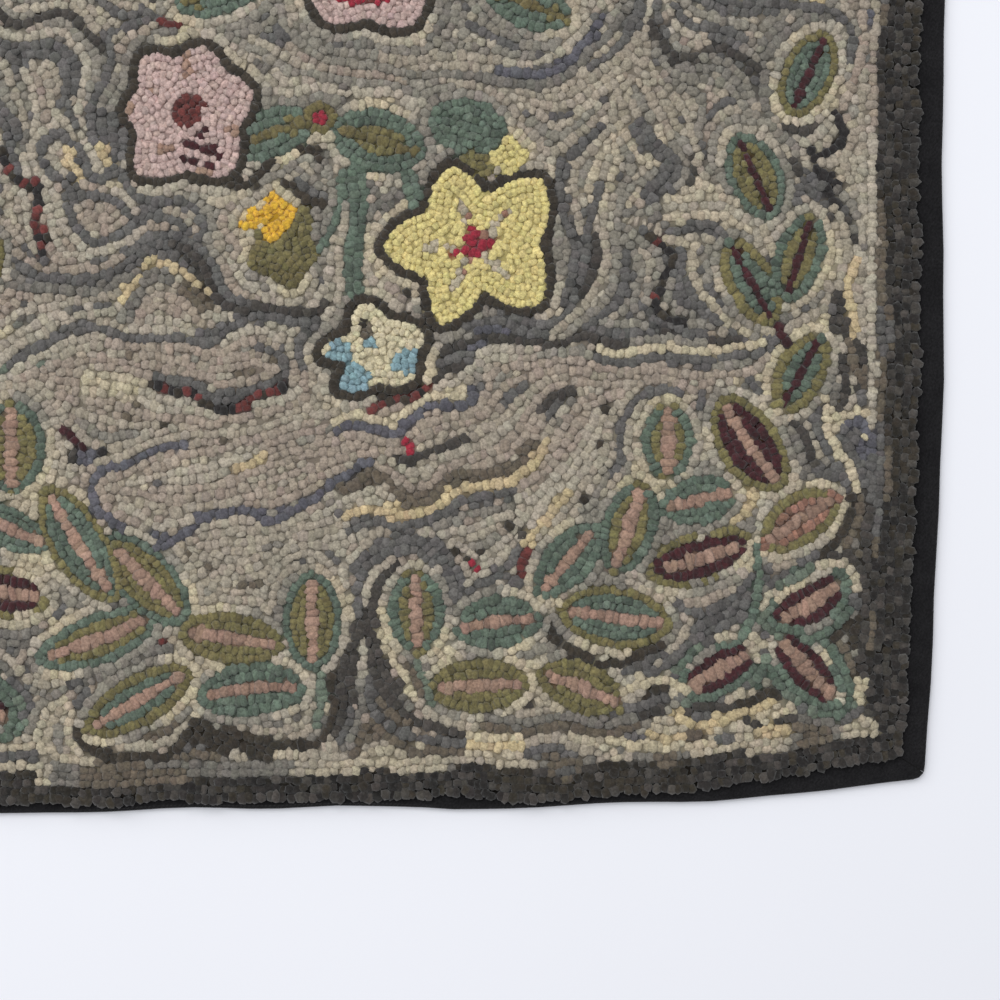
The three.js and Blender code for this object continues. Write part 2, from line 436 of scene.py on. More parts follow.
@dataclass(frozen=True)
class Bloom:
    """A lobed shape filled with rings of loops: a flower, a bud or its cup.

    Each petal is its angle, its reach, and how far the edge comes in before the next petal.
    """

    x: float
    y: float
    petals: tuple[tuple[float, float, float], ...]
    fill: Paint
    outlined: Optional[Wool] = None
    full: float = 1.3
    group: Group = Group.SPRAY
    turn: float = 0.0

    def outline(self) -> np.ndarray:
        """Draws the bloom's outline.

        Returns:
            Points on the rug, counter-clockwise.
        """
        ends = [*self.petals[1:], (self.petals[0][0] + 360, *self.petals[0][1:])]
        points = []
        for (a, r, valley), (b, s, _) in zip(self.petals, ends):
            for t in np.linspace(0, 1, 24, endpoint=False):
                tip = r if t < 0.5 else s
                radius = valley + (tip - valley) * (1 - (1 - abs(2 * t - 1)) ** self.full)
                angle = math.radians(a + (b - a) * t + self.turn)
                points.append([self.x + radius * math.cos(angle), self.y + radius * math.sin(angle)])
        return np.array(points)

    def paint(self, x: float, y: float) -> Wool:
        """Picks the wool of a loop.

        Args:
            x: across the rug.
            y: along the rug.

        Returns:
            The wool.
        """
        dx, dy = x - self.x, y - self.y
        c, s = math.cos(math.radians(-self.turn)), math.sin(math.radians(-self.turn))
        return wool_at(self.fill, c * dx - s * dy, s * dx + c * dy)

    def rows(self) -> Iterator[Row]:
        """Draws the bloom's rows.

        Yields:
            The dark outline, if there is one, then the rings from the outside in.
        """
        outline = self.outline()
        if self.outlined is not None:
            dark = moved_in(outline, -0.5 * HOOKING.row_width)
            yield Row(dark, self.outlined, self.group, HOOKING.outline_width, HOOKING.outline_pitch, True)
        inset = 0.5 * HOOKING.petal_width
        while (path := moved_in(outline, inset)) is not None:
            yield Row(path, self.paint, self.group, HOOKING.petal_width, HOOKING.petal_pitch, True)
            inset += HOOKING.petal_width

    def halo(self) -> Iterator[Row]:
        """Draws what lies round the bloom.

        Yields:
            The pale row outside the dark outline.
        """
        out = 1.5 if self.outlined is not None else 0.5
        path = moved_in(self.outline(), -out * HOOKING.row_width)
        yield Row(path, halo_wool, Group.GROUND, closed=True)

    def opposite(self) -> "Bloom":
        """The same bloom with the rug turned half round."""
        return replace(self, x=-self.x, y=-self.y, turn=self.turn + 180)


@dataclass(frozen=True)
class Line:
    """A line of one or more rows side by side: a stem, or a coloured line in the ground."""

    wools: tuple[Paint, ...]
    points: tuple[Point, ...]
    group: Group = Group.GROUND

    def rows(self) -> Iterator[Row]:
        """Draws the line's rows.

        Yields:
            The rows, from one side to the other.
        """
        middle = smooth_path(list(self.points))
        tangent = unit(np.gradient(middle, axis=0))
        across = np.stack([-tangent[:, 1], tangent[:, 0]], axis=1)
        for number, wool in enumerate(self.wools):
            shift = (number - (len(self.wools) - 1) / 2) * HOOKING.row_width * HOOKING.side_by_side
            yield Row(middle + across * shift, wool, self.group)

    def opposite(self) -> "Line":
        """The same line with the rug turned half round."""
        return replace(self, points=tuple((-x, -y) for x, y in self.points))


STAR_PETALS = (44, 106, 180, 247, 319)
SQUIGGLE = (
    ((1, -17), (9, -22), (16, -19), (17, -26), (12, -29)),
    ((-2, -26), (6, -26), (12, -29)),
    ((7, -12), (9, -11)),
)
SKY_MARKS = (
    (-19, -1, 6.0, Wool.SKY), (-2, 3, 3.4, Wool.SKY), (17, -6, 7.4, Wool.SKY),
    (-10, -15, 8.0, Wool.SKY), (-4, 10, 3.6, Wool.BARK), (-7, 16, 2.6, Wool.SOOT),
)


def by_tone(tone: float, steps: tuple[tuple[float, Wool], ...], lowest: Wool) -> Wool:
    """Picks a wool by a tone.

    Args:
        tone: a number from 0 to 1.
        steps: tones, the highest first, and the wool above each.
        lowest: the wool below them all.

    Returns:
        The wool of the first step that the tone is above.
    """
    return next((wool for least, wool in steps if tone > least), lowest)


def red_heart(x: float, y: float) -> Wool:
    """The five-petalled flower: yellow, a red heart and pale flecked rays along its petals.

    Args:
        x: across, from the flower's middle.
        y: along, from the flower's middle.

    Returns:
        The wool.
    """
    reach = math.hypot(x, y)
    if reach < 6.2 or (reach < 11 and abs(y + 1) < 2.9) or math.hypot(x - 1, y - 7) < 3.4:
        return Wool.RED
    angle = math.degrees(math.atan2(y, x))
    aside = min(abs((angle - petal + 180) % 360 - 180) for petal in STAR_PETALS)
    if math.radians(aside) * reach < 2.1 and reach < 27:
        return Wool.ROSEWOOD if FLECKS.at(11 * x, 11 * y) > 0.66 else Wool.OATMEAL
    return Wool.YELLOW


def patched(x: float, y: float) -> Wool:
    """The small pale flower: ivory with patches of light blue and one brown mark."""
    hits = (wool for px, py, size, wool in SKY_MARKS if math.hypot(x - px, y - py) < size)
    return next(hits, Wool.IVORY)


def from_strokes(x: float, y: float, strokes: tuple[tuple[Point, ...], ...]) -> float:
    """How far a point is from the nearest of some strokes.

    Args:
        x: across in millimetres.
        y: along in millimetres.
        strokes: the strokes, each the points it runs through.

    Returns:
        The distance in millimetres.
    """
    nearest = math.inf
    for stroke in strokes:
        for (ax, ay), (bx, by) in zip(stroke, stroke[1:]):
            share = ((x - ax) * (bx - ax) + (y - ay) * (by - ay)) / ((bx - ax) ** 2 + (by - ay) ** 2)
            share = min(max(share, 0.0), 1.0)
            nearest = min(nearest, math.hypot(x - ax - share * (bx - ax), y - ay - share * (by - ay)))
    return nearest


def squiggled(x: float, y: float) -> Wool:
    """The large pink flower: dusty pink with dark strokes on one petal.

    Args:
        x: across, from the flower's middle.
        y: along, from the flower's middle.

    Returns:
        The wool.
    """
    if from_strokes(x, y, SQUIGGLE) < 1.9:
        return Wool.MAROON
    if math.hypot(x, y) < 9:
        return Wool.BRICK
    return Wool.SHELL if DRIFT.at(4 * x, 4 * y) > 0.16 else Wool.PINK


def rose(x: float, y: float) -> Wool:
    """The flower in the middle: red towards its heart, with a dark ring and pink petals.

    Args:
        x: across, from the flower's middle.
        y: along, from the flower's middle.

    Returns:
        The wool.
    """
    reach = math.hypot(x, y)
    if reach < 8:
        return Wool.GOLD
    if reach < 16:
        return Wool.MAROON
    if reach < 30:
        return Wool.RED if FLECKS.at(5 * x, 5 * y) > 0.35 else Wool.BRICK
    return Wool.SHELL


def golden(x: float, y: float) -> Wool:
    """The bud: bright gold."""
    return Wool.GOLD if FLECKS.at(6 * x, 6 * y) > 0.22 else Wool.STRAW


def cupped(x: float, y: float) -> Wool:
    """The bud's cup: olive with a darker foot."""
    return Wool.MOSS if y < -9 else Wool.OLIVE


def halo_wool(x: float, y: float) -> Wool:
    """The rows that follow the leaves and flowers, pale here and there."""
    steps = ((0.7, Wool.CREAM), (0.57, Wool.OATMEAL), (0.4, Wool.STONE))
    return by_tone(DRIFT.at(2.1 * x, 2.1 * y), steps, Wool.DOVE)


def dusky_halo(x: float, y: float) -> Wool:
    """The rows round the corner's narrow leaves: grey-green and slate, seldom pale."""
    steps = ((0.62, Wool.OATMEAL), (0.5, Wool.SLATE), (0.4, Wool.SAGE))
    return by_tone(DRIFT.at(2.3 * x + 20, 2.3 * y), steps, Wool.TEAL)


def flecked(x: float, y: float) -> Wool:
    """A dark row with bits of red in it."""
    return by_tone(FLECKS.at(14 * x, 14 * y), ((0.6, Wool.BRICK), (0.42, Wool.SOOT)), Wool.BLACK)


def edge_wool(x: float, y: float) -> Wool:
    """The border's dark rows, charcoal here and browner there.

    Args:
        x: across the rug.
        y: along the rug.

    Returns:
        The wool.
    """
    tone = DRIFT.at(0.8 * x + 90, 0.8 * y)
    fleck = FLECKS.at(13 * x, 13 * y + 40)
    if fleck > 0.64:
        return Wool.CHARCOAL
    return Wool.EDGE_BROWN if tone < 0.4 or fleck < 0.3 else Wool.EDGE


@dataclass(frozen=True)
class WornEdge:
    """The paint of a border row that the ground's wools break into.

    The level is how much of the row they take, from 0 to 1. At the short sides they take whole rows.
    """

    level: float
    short_side: float = 405.0
    corner: float = 269.0
    half_length: float = 440.0

    def taken_from(self, x: float, y: float) -> float:
        """Finds which border rows the ground takes at a short side.

        Args:
            x: across the rug.
            y: along the rug.

        Returns:
            The level above which it takes a row: lower to the left, higher just past the middle.
        """
        leftwards = x * y / self.half_length
        if leftwards > 90:
            return 0.05
        return 0.5 if -195 < leftwards < -45 else 0.2

    def __call__(self, x: float, y: float) -> Wool:
        """Picks the wool of a loop.

        Args:
            x: across the rug.
            y: along the rug.

        Returns:
            The wool.
        """
        tone = DRIFT.at(1.6 * x, 1.6 * y + 70)
        if abs(y) > self.short_side and abs(x) < self.corner and self.level > self.taken_from(x, y):
            if tone > 0.7 + 0.4 * self.level:
                return edge_wool(x, y)
            return by_tone(tone, ((0.57, Wool.OATMEAL), (0.5, Wool.TAUPE), (0.32, Wool.ASH)), Wool.BARK)
        if tone > self.level:
            return edge_wool(x, y)
        return Wool.BARK if tone > 0.5 * self.level else Wool.SLATE


LEAVES = (
    Leaf(-188, -263, 50, 37, 90, LeafKind.GREEN),
    Leaf(-151, -314, 72, 31, 122, LeafKind.OLIVE_TEAL, 1.5),
    Leaf(-189, -306, 48, 21, 155, LeafKind.TEAL),
    Leaf(-192, -340, 42, 20, -5, LeafKind.WINE),
    Leaf(-117, -333, 63, 31, 134, LeafKind.GREEN),
    Leaf(-142, -363, 72, 27, 21, LeafKind.GREEN, -1.5),
    Leaf(-121, -397, 66, 27, 30, LeafKind.OLIVE_TEAL),
    Leaf(-72, -364, 57, 27, -8, LeafKind.OLIVE),
    Leaf(-61, -393, 59, 29, 5, LeafKind.TEAL, 2.5),
    Leaf(-29, -355, 53, 31, 90, LeafKind.GREEN),
    Leaf(26, -350, 45, 30, 92, LeafKind.GREEN),
    Leaf(69, -357, 47, 28, 8, LeafKind.TEAL, 2.0),
    Leaf(59, -389, 53, 29, 3, LeafKind.OLIVE),
    Leaf(113, -390, 49, 27, -22, LeafKind.OLIVE),
    Leaf(106, -323, 49, 26, 50, LeafKind.TEAL),
    Leaf(138, -306, 53, 29, 72, LeafKind.GREEN),
    Leaf(131, -353, 62, 32, -8, LeafKind.OLIVE_TEAL),
    Leaf(159, -260, 41, 28, 90, LeafKind.GREEN),
    Leaf(175, -291, 41, 26, 12, LeafKind.TEAL),
    Leaf(203, -261, 60, 33, 124, LeafKind.WINE_OLIVE, 1.5),
    Leaf(229, -302, 48, 28, 33, LeafKind.BROWN, 1.0),
    Leaf(176, -321, 50, 20, 17, LeafKind.WINE, -1.0),
    Leaf(233, -343, 41, 20, 30, LeafKind.WINE_TEAL, -3.5),
    Leaf(186, -381, 40, 18, 30, LeafKind.WINE_TEAL),
    Leaf(232, -380, 46, 19, -48, LeafKind.WINE_TEAL),
    Leaf(205, -120, 49, 29, 113, LeafKind.VINE),
    Leaf(228, -163, 50, 27, 72, LeafKind.VINE),
    Leaf(203, -176, 52, 27, 118, LeafKind.VINE_OLIVE),
    Leaf(229, -224, 48, 27, 62, LeafKind.VINE_OLIVE),
    Leaf(233, -66, 49, 28, 66, LeafKind.VINE_OLIVE),
    Leaf(-234, -266, 56, 31, 58, LeafKind.WINE_OLIVE, -1.5),
    Leaf(-249, -315, 46, 27, 149, LeafKind.BROWN, -1.0),
    Leaf(-249, -358, 40, 20, 150, LeafKind.WINE_TEAL, 3.5),
    Leaf(-206, -398, 40, 18, 150, LeafKind.WINE_TEAL),
    Leaf(-249, -397, 43, 19, 48, LeafKind.WINE_TEAL),
    Leaf(-212, -115, 49, 29, 67, LeafKind.VINE),
    Leaf(-235, -157, 50, 27, 108, LeafKind.VINE),
    Leaf(-207, -171, 48, 26, 62, LeafKind.VINE_OLIVE),
    Leaf(-236, -219, 48, 27, 118, LeafKind.VINE_OLIVE),
    Leaf(-238, -62, 49, 28, 114, LeafKind.VINE_OLIVE),
    Leaf(-53, -98, 53, 27, 20, LeafKind.SPRAY, 0.0, Group.SPRAY),
    Leaf(6, -101, 52, 33, -16, LeafKind.SPRAY, 0.0, Group.SPRAY),
    Leaf(54, -94, 44, 30, -14, LeafKind.SHADE, 0.0, Group.SPRAY),
    Leaf(84, -28, 52, 27, -24, LeafKind.SPRAY, 0.0, Group.SPRAY),
    Leaf(-78, -22, 50, 26, 18, LeafKind.SPRAY, 0.0, Group.SPRAY),
)

BLOOMS = (
    Bloom(56, -157, ((44, 51, 26), (106, 44, 29), (180, 48, 27), (247, 45, 22), (319, 47, 34)), red_heart,
          Wool.SOOT, 1.12),
    Bloom(4, -212, ((17, 28, 17), (107, 26, 13), (184, 29, 11), (226, 28, 17), (325, 26, 21)), patched,
          Wool.SOOT, 1.15),
    Bloom(-95, -85, ((15, 36, 28), (75, 35, 27), (130, 37, 27), (180, 33, 28), (232, 43, 31), (304, 41, 28)),
          squiggled, Wool.SOOT, 1.15),
    Bloom(-50, -142, ((20, 14, 10), (85, 14, 10), (188, 20, 8), (262, 14, 9)), golden, None, 1.0),
    Bloom(-44, -158, ((62, 25, 15), (140, 18, 15), (205, 21, 16), (285, 22, 16), (345, 19, 15)), cupped),
    Bloom(75, -110, ((10, 11, 8), (88, 13, 8), (185, 11, 8), (272, 12, 8)), Wool.YELLOW, None, 1.0),
    Bloom(58, -114, ((170, 10, 6), (350, 10, 6)), cupped),
    Bloom(-25, -89, ((0, 4.4, 4.2), (180, 4.4, 4.2)), Wool.RED, Wool.MOSS),
)

ROSE = Bloom(0, 0, ((0, 46, 36), (60, 44, 35), (120, 47, 36), (180, 46, 35), (240, 44, 36), (300, 47, 36)),
             rose, Wool.SOOT)

STEMS = (
    Line((Wool.TEAL, Wool.TEAL), ((-6, -111), (-4, -135), (-7, -160), (-6, -184)), Group.SPRAY),
    Line((Wool.TEAL,), ((-14, -118), (-14, -133), (-18, -146), (-27, -161), (-33, -167)), Group.SPRAY),
    Line((Wool.TEAL, Wool.TEAL), ((20, -112), (23, -124), (28, -137)), Group.SPRAY),
    Line((Wool.SAGE,), ((-24, -384), (-24, -398), (-27, -410)), Group.GARLAND),
    Line((Wool.SAGE,), ((27, -376), (31, -388), (34, -398)), Group.GARLAND),
    Line((Wool.TEAL,), ((206, -315), (207, -335), (204, -352), (197, -364), (190, -370)), Group.GARLAND),
    Line((Wool.SAGE,), ((213, -349), (208, -356), (222, -366)), Group.GARLAND),
    Line((Wool.TEAL,), ((-222, -330), (-224, -350), (-221, -368), (-214, -382)), Group.GARLAND),
    Line((Wool.MAROON,), ((214, -195), (219, -203), (224, -212)), Group.GARLAND),
    Line((Wool.MAROON,), ((-218, -190), (-223, -199), (-228, -208)), Group.GARLAND),
)

GROUND_LINES = (
    Line((Wool.SLATE,), ((-188, -219), (-179, -213), (-163, -205), (-144, -200), (-129, -205), (-115, -206),
         (-97, -206), (-81, -207), (-70, -198), (-60, -195))),
    Line((Wool.CHARCOAL, Wool.SLATE), ((-101, -153), (-88, -161), (-82, -172), (-77, -184), (-64, -189))),
    Line((Wool.SLATE,), ((-125, -159), (-115, -152), (-101, -150))),
    Line((Wool.SLATE, Wool.CHARCOAL), ((-62, -190), (-43, -194), (-28, -194))),
    Line((Wool.SLATE,), ((-27, -199), (-36, -207), (-34, -221))),
    Line((Wool.SLATE,), ((-166, -99), (-173, -106), (-168, -118), (-160, -123), (-155, -133), (-157, -141),
         (-151, -150), (-144, -155), (-134, -153), (-125, -146), (-119, -141))),
    Line((Wool.SLATE, Wool.BLUE_SLATE), ((-157, -124), (-154, -135))),
    Line((Wool.SLATE,), ((-162, -97), (-151, -107), (-147, -118), (-141, -122), (-133, -119))),
    Line((Wool.SLATE,), ((-129, -121), (-124, -129), (-111, -134), (-99, -133), (-91, -138), (-87, -146),
         (-89, -154))),
    Line((Wool.SLATE, Wool.SLATE), ((-132, -88), (-131, -102), (-131, -111))),
    Line((Wool.SLATE,), ((-153, -130), (-144, -130), (-132, -133), (-125, -141), (-119, -138))),
    Line((Wool.STRAW, Wool.CREAM), ((-156, -108), (-149, -120))),
    Line((Wool.STRAW,), ((-141, -105), (-137, -113))),
    Line((Wool.STRAW, Wool.CREAM), ((-139, -127), (-130, -127))),
    Line((Wool.SLATE,), ((-186, -165), (-176, -172), (-163, -174), (-148, -174), (-134, -171), (-125, -164),
         (-115, -160), (-101, -163), (-93, -170))),
    Line((Wool.ASH,), ((-194, -176), (-178, -179), (-163, -180), (-143, -181), (-130, -175), (-121, -170))),
    Line((Wool.STRAW,), ((-130, -185), (-121, -175), (-115, -165), (-103, -167), (-91, -175), (-81, -185),
         (-73, -191))),
    Line((Wool.ASH,), ((-125, -196), (-124, -184), (-114, -174), (-104, -174))),
    Line((Wool.BARK,), ((-98, -180), (-92, -184), (-87, -190))),
    Line((flecked,), ((-193, -106), (-189, -118), (-179, -125), (-173, -131), (-175, -141), (-174, -150),
         (-171, -160))),
    Line((Wool.SOOT,), ((-74, -118), (-72, -125), (-65, -125), (-59, -121), (-51, -113), (-35, -104),
         (-25, -111))),
    Line((Wool.SOOT, Wool.SLATE), ((-38, -123), (-33, -129), (-24, -133))),
    Line((flecked, Wool.SLATE), ((-113, -228), (-101, -231), (-91, -233), (-80, -240), (-72, -241),
         (-61, -235), (-54, -233), (-45, -229))),
    Line((Wool.SLATE,), ((-43, -225), (-43, -218), (-47, -214))),
    Line((Wool.BLUE_SLATE,), ((1, -271), (-15, -280), (-25, -287), (-36, -295), (-52, -302), (-65, -296),
         (-81, -299), (-91, -304), (-102, -312), (-110, -316), (-123, -311), (-131, -305), (-139, -299),
         (-144, -291), (-144, -280), (-137, -275), (-126, -271), (-110, -264), (-97, -262))),
    Line((Wool.BLUE_SLATE, Wool.CREAM), ((-17, -252), (-9, -248), (4, -251), (15, -253), (23, -246),
         (33, -239), (52, -238), (53, -232))),
    Line((Wool.BARK,), ((-12, -286), (-1, -279), (9, -279), (17, -288), (30, -293), (38, -286), (44, -279),
         (60, -277), (73, -276), (81, -270), (86, -262))),
    Line((Wool.STRAW,), ((-12, -301), (-4, -296), (7, -297), (20, -298), (28, -298), (38, -294), (49, -286),
         (65, -283), (75, -282), (84, -275), (92, -267), (95, -261))),
    Line((Wool.SLATE,), ((-9, -307), (4, -303), (17, -305), (30, -303), (38, -299), (50, -292), (65, -289),
         (77, -287))),
    Line((Wool.SLATE,), ((-7, -328), (-1, -320), (9, -315), (22, -312), (33, -316), (44, -331), (46, -344))),
    Line((Wool.CHARCOAL,), ((-8, -397), (-7, -376), (-3, -355), (4, -365), (9, -381), (17, -392))),
    Line((Wool.BARK,), ((-9, -430), (1, -409), (9, -416), (20, -421), (33, -428), (48, -427))),
    Line((Wool.SOOT,), ((-154, -412), (-151, -419), (-144, -424), (-134, -427), (-120, -426), (-109, -427),
         (-101, -423), (-95, -415), (-90, -408), (-80, -413), (-67, -421), (-52, -427))),
    Line((Wool.SOOT,), ((-92, -413), (-84, -419), (-74, -424))),
    Line((Wool.OATMEAL, Wool.OATMEAL), ((-158, -398), (-167, -404), (-171, -414), (-169, -424))),
    Line((Wool.SOOT,), ((98, -364), (113, -373), (130, -378), (144, -373), (155, -368))),
    Line((Wool.STONE, Wool.OATMEAL), ((269, -95), (269, -140), (268, -190), (269, -252))),
    Line((Wool.STRAW,), ((259, -164), (254, -176), (254, -187), (259, -201))),
    Line((Wool.CHARCOAL,), ((251, -178), (250, -190), (248, -200))),
    Line((Wool.BARK, Wool.CHARCOAL), ((257, -208), (260, -219), (265, -230))),
    Line((Wool.CREAM,), ((266, -282), (269, -291), (269, -323), (268, -355), (265, -376), (260, -397))),
    Line((Wool.CREAM,), ((242, -238), (244, -254), (249, -264), (256, -275), (259, -286))),
    Line((Wool.CREAM,), ((248, -247), (261, -244), (270, -246))),
    Line((Wool.SLATE,), ((252, -254), (258, -258))),
    Line((Wool.SLATE,), ((123, -94), (113, -105), (102, -113), (103, -132), (105, -145), (110, -158),
         (107, -180))),
    Line((Wool.SLATE,), ((123, -124), (118, -140), (116, -158), (112, -174), (104, -186))),
    Line((Wool.SLATE,), ((73, -190), (86, -197), (100, -197), (110, -185))),
    Line((Wool.SLATE,), ((38, -219), (46, -216), (54, -214))),
    Line((Wool.SLATE,), ((44, -202), (56, -198), (70, -196), (82, -202), (94, -204))),
    Line((Wool.SLATE, Wool.CREAM), ((122, -214), (134, -216), (155, -213), (176, -215), (197, -212),
         (209, -210))),
    Line((flecked,), ((150, -152), (159, -159), (161, -166), (157, -174), (153, -183), (152, -189),
         (158, -194), (167, -197))),
    Line((Wool.SLATE, Wool.SLATE), ((142, -92), (153, -106), (162, -114), (158, -122), (148, -131))),
    Line((Wool.OATMEAL, Wool.STONE, Wool.OATMEAL), ((158, -137), (176, -136), (190, -137), (203, -144))),
    Line((Wool.STONE, Wool.OATMEAL), ((207, -148), (211, -158), (212, -168))),
    Line((Wool.SLATE,), ((160, -149), (170, -148), (179, -145), (188, -150), (191, -154))),
    Line((Wool.STRAW, Wool.CREAM), ((54, -418), (68, -419), (81, -418))),
    Line((Wool.BARK, Wool.ASH), ((62, -408), (84, -411), (103, -408), (126, -412), (142, -408))),
    Line((Wool.SLATE, Wool.TAUPE), ((84, -422), (98, -419), (110, -424), (131, -429))),
    Line((Wool.SLATE,), ((130, -403), (146, -399), (157, -395))),
    Line((Wool.OATMEAL, Wool.CREAM), ((112, -415), (134, -422), (156, -424), (177, -422), (195, -424),
         (212, -422), (228, -420), (246, -418), (262, -414))),
    Line((Wool.STRAW, Wool.OATMEAL), ((150, -413), (158, -415), (166, -414))),
    Line((Wool.STRAW,), ((161, -404), (168, -408), (176, -411), (183, -409), (190, -408), (195, -404),
         (206, -402), (214, -397))),
    Line((Wool.STRAW,), ((206, -413), (214, -411), (221, -413), (227, -416))),
    Line((Wool.CHARCOAL,), ((170, -402), (190, -400), (206, -409), (226, -406))),
    Line((Wool.CREAM,), ((134, -392), (155, -386), (168, -392))),
    Line((Wool.BLACK,), ((247, -86), (252, -98), (247, -105), (238, -110), (236, -115), (242, -121),
         (248, -123))),
    Line((Wool.BLACK,), ((244, -129), (247, -133))),
    Line((Wool.MAROON,), ((-160, -254), (-156, -258), (-151, -263))),
    Line((Wool.BLUE_SLATE,), ((-152, -270), (-146, -270))),
    Line((Wool.BLACK,), ((-141, -266), (-139, -265))),
    Line((Wool.RED,), ((20, -260), (22, -262))),
    Line((Wool.RED,), ((56, -325), (58, -327))),
    Line((Wool.RED,), ((54, -230), (55, -227))),
    Line((flecked,), ((4, -242), (9, -239.5), (15, -237), (22, -238.5), (27, -235), (31, -231))),
    Line((Wool.OATMEAL, Wool.CREAM, Wool.OATMEAL), ((-149, -229), (-136, -230), (-123, -233))),
    Line((Wool.STRAW,), ((-70, -275), (-62, -272), (-54, -267))),
    Line((Wool.STRAW,), ((84, -313), (90, -306), (98, -297), (106, -288))),
    Line((Wool.STRAW,), ((190, -271), (200, -280), (205, -289), (200, -297), (194, -303))),
    Line((Wool.SLATE,), ((-262, -95), (-256, -130), (-263, -170), (-259, -196))),
    Line((Wool.CREAM,), ((-271, -95), (-272, -140), (-271, -190), (-271, -240))),
    Line((Wool.CREAM,), ((-270, -280), (-272, -330), (-268, -376))),
    Line((Wool.SLATE, Wool.OATMEAL), ((-240, -424), (-215, -420), (-190, -424), (-170, -422))),
    Line((Wool.CHARCOAL,), ((150, -40), (165, -58), (186, -52), (205, -62))),
    Line((Wool.SLATE,), ((118, -62), (134, -50), (147, -20), (139, 6))),
    Line((Wool.CHARCOAL,), ((-205, -24), (-186, -40), (-160, -34), (-140, -52))),
    Line((Wool.BLUE_SLATE,), ((70, -64), (92, -66), (108, -58), (124, -36))),
    Line((Wool.STRAW,), ((166, -8), (190, -20), (214, -16), (240, -26))),
)


@dataclass
class Knot:
    """One sample of a hooked row, kept to see how close other rows come."""

    x: float
    y: float
    half: float
    row: int
    place: int


class Canvas:
    """The burlap while it is hooked: where rows already lie, and which rows there are."""

    CELL = 5.0
    NO_ROW = -1
    EDGE_ROW = -2

    def __init__(self, edge: np.ndarray) -> None:
        """Starts an empty canvas.

        Args:
            edge: the outline of the pile in millimetres.
        """
        self.edge = edge
        self.cells: dict[tuple[int, int], list[Knot]] = {}
        self.rows: list[Row] = []

    def cell(self, x: float, y: float) -> tuple[int, int]:
        """The cell that a point lies in."""
        return math.floor(x / self.CELL), math.floor(y / self.CELL)

    def near(self, x: float, y: float) -> Iterator[Knot]:
        """Goes through the samples in the cells round a point.

        Args:
            x: across the rug.
            y: along the rug.

        Yields:
            The samples.
        """
        i, j = self.cell(x, y)
        for a in (i - 1, i, i + 1):
            for b in (j - 1, j, j + 1):
                yield from self.cells.get((a, b), ())

    def free(self, x: float, y: float, half: float, closest: float, row: int = NO_ROW, place: int = 0,
             skip: int = 0) -> bool:
        """Whether a row could run through a point.

        Args:
            x: across the rug.
            y: along the rug.
            half: half the row's width.
            closest: the closest that rows may come, as a share of their usual distance.
            row: the number of the row itself.
            place: the point's place along it.
            skip: how many places of its own row don't count.

        Returns:
            True if no other row, and no earlier stretch of its own, is too close.
        """
        for knot in self.near(x, y):
            if knot.row == row and abs(knot.place - place) <= skip:
                continue
            reach = closest * (half + knot.half)
            if (knot.x - x) ** 2 + (knot.y - y) ** 2 < reach * reach:
                return False
        return True

    def put(self, x: float, y: float, half: float, row: int, place: int) -> None:
        """Marks one sample of a row."""
        self.cells.setdefault(self.cell(x, y), []).append(Knot(x, y, half, row, place))

    def beside(self, x: float, y: float) -> Optional[Row]:
        """Finds the row that runs nearest to a point.

        Args:
            x: across the rug.
            y: along the rug.

        Returns:
            The row, or None if none runs near it.
        """
        near = [knot for knot in self.near(x, y) if knot.row >= 0]
        if not near:
            return None
        return self.rows[min(near, key=lambda knot: (knot.x - x) ** 2 + (knot.y - y) ** 2).row]

    def close_edge(self) -> None:
        """Marks the outline of the pile, so that no row starts outside it."""
        for x, y in spread_along(self.edge, HOOKING.step, closed=True).tolist():
            self.put(x, y, HOOKING.row_width / 2, self.EDGE_ROW, 0)

    def take_back(self, path: list[Point], row: int) -> None:
        """Removes the marks of a row that turned out too short.

        Args:
            path: the row's samples.
            row: its number.
        """
        for x, y in path:
            kept = [knot for knot in self.cells[self.cell(x, y)] if knot.row != row]
            self.cells[self.cell(x, y)] = kept

    def hook(self, row: Row) -> None:
        """Hooks a drawn row, leaving out the stretches that would run over earlier rows.

        Args:
            row: the row as drawn.
        """
        samples = spread_along(row.path, HOOKING.step, row.closed)
        half = row.width / 2
        clear = [self.free(x, y, half, HOOKING.clip_rows) for x, y in samples.tolist()]
        if all(clear):
            self.keep(replace(row, path=samples))
            return
        if row.closed:
            start = clear.index(False)
            samples = np.roll(samples, -start, axis=0)
            clear = clear[start:] + clear[:start]
        run: list[np.ndarray] = []
        for point, is_clear in zip([*samples, samples[-1]], [*clear, False]):
            if is_clear:
                run.append(point)
                continue
            if len(run) * HOOKING.step >= HOOKING.shortest_row:
                self.keep(replace(row, path=np.array(run), closed=False))
            run = []

    def keep(self, row: Row, marked: bool = False) -> None:
        """Keeps a row on the canvas.

        Args:
            row: the row, its path evenly sampled.
            marked: whether its samples are marked already.
        """
        if not marked:
            for place, (x, y) in enumerate(row.path.tolist()):
                self.put(x, y, row.width / 2, len(self.rows), place)
        self.rows.append(row)


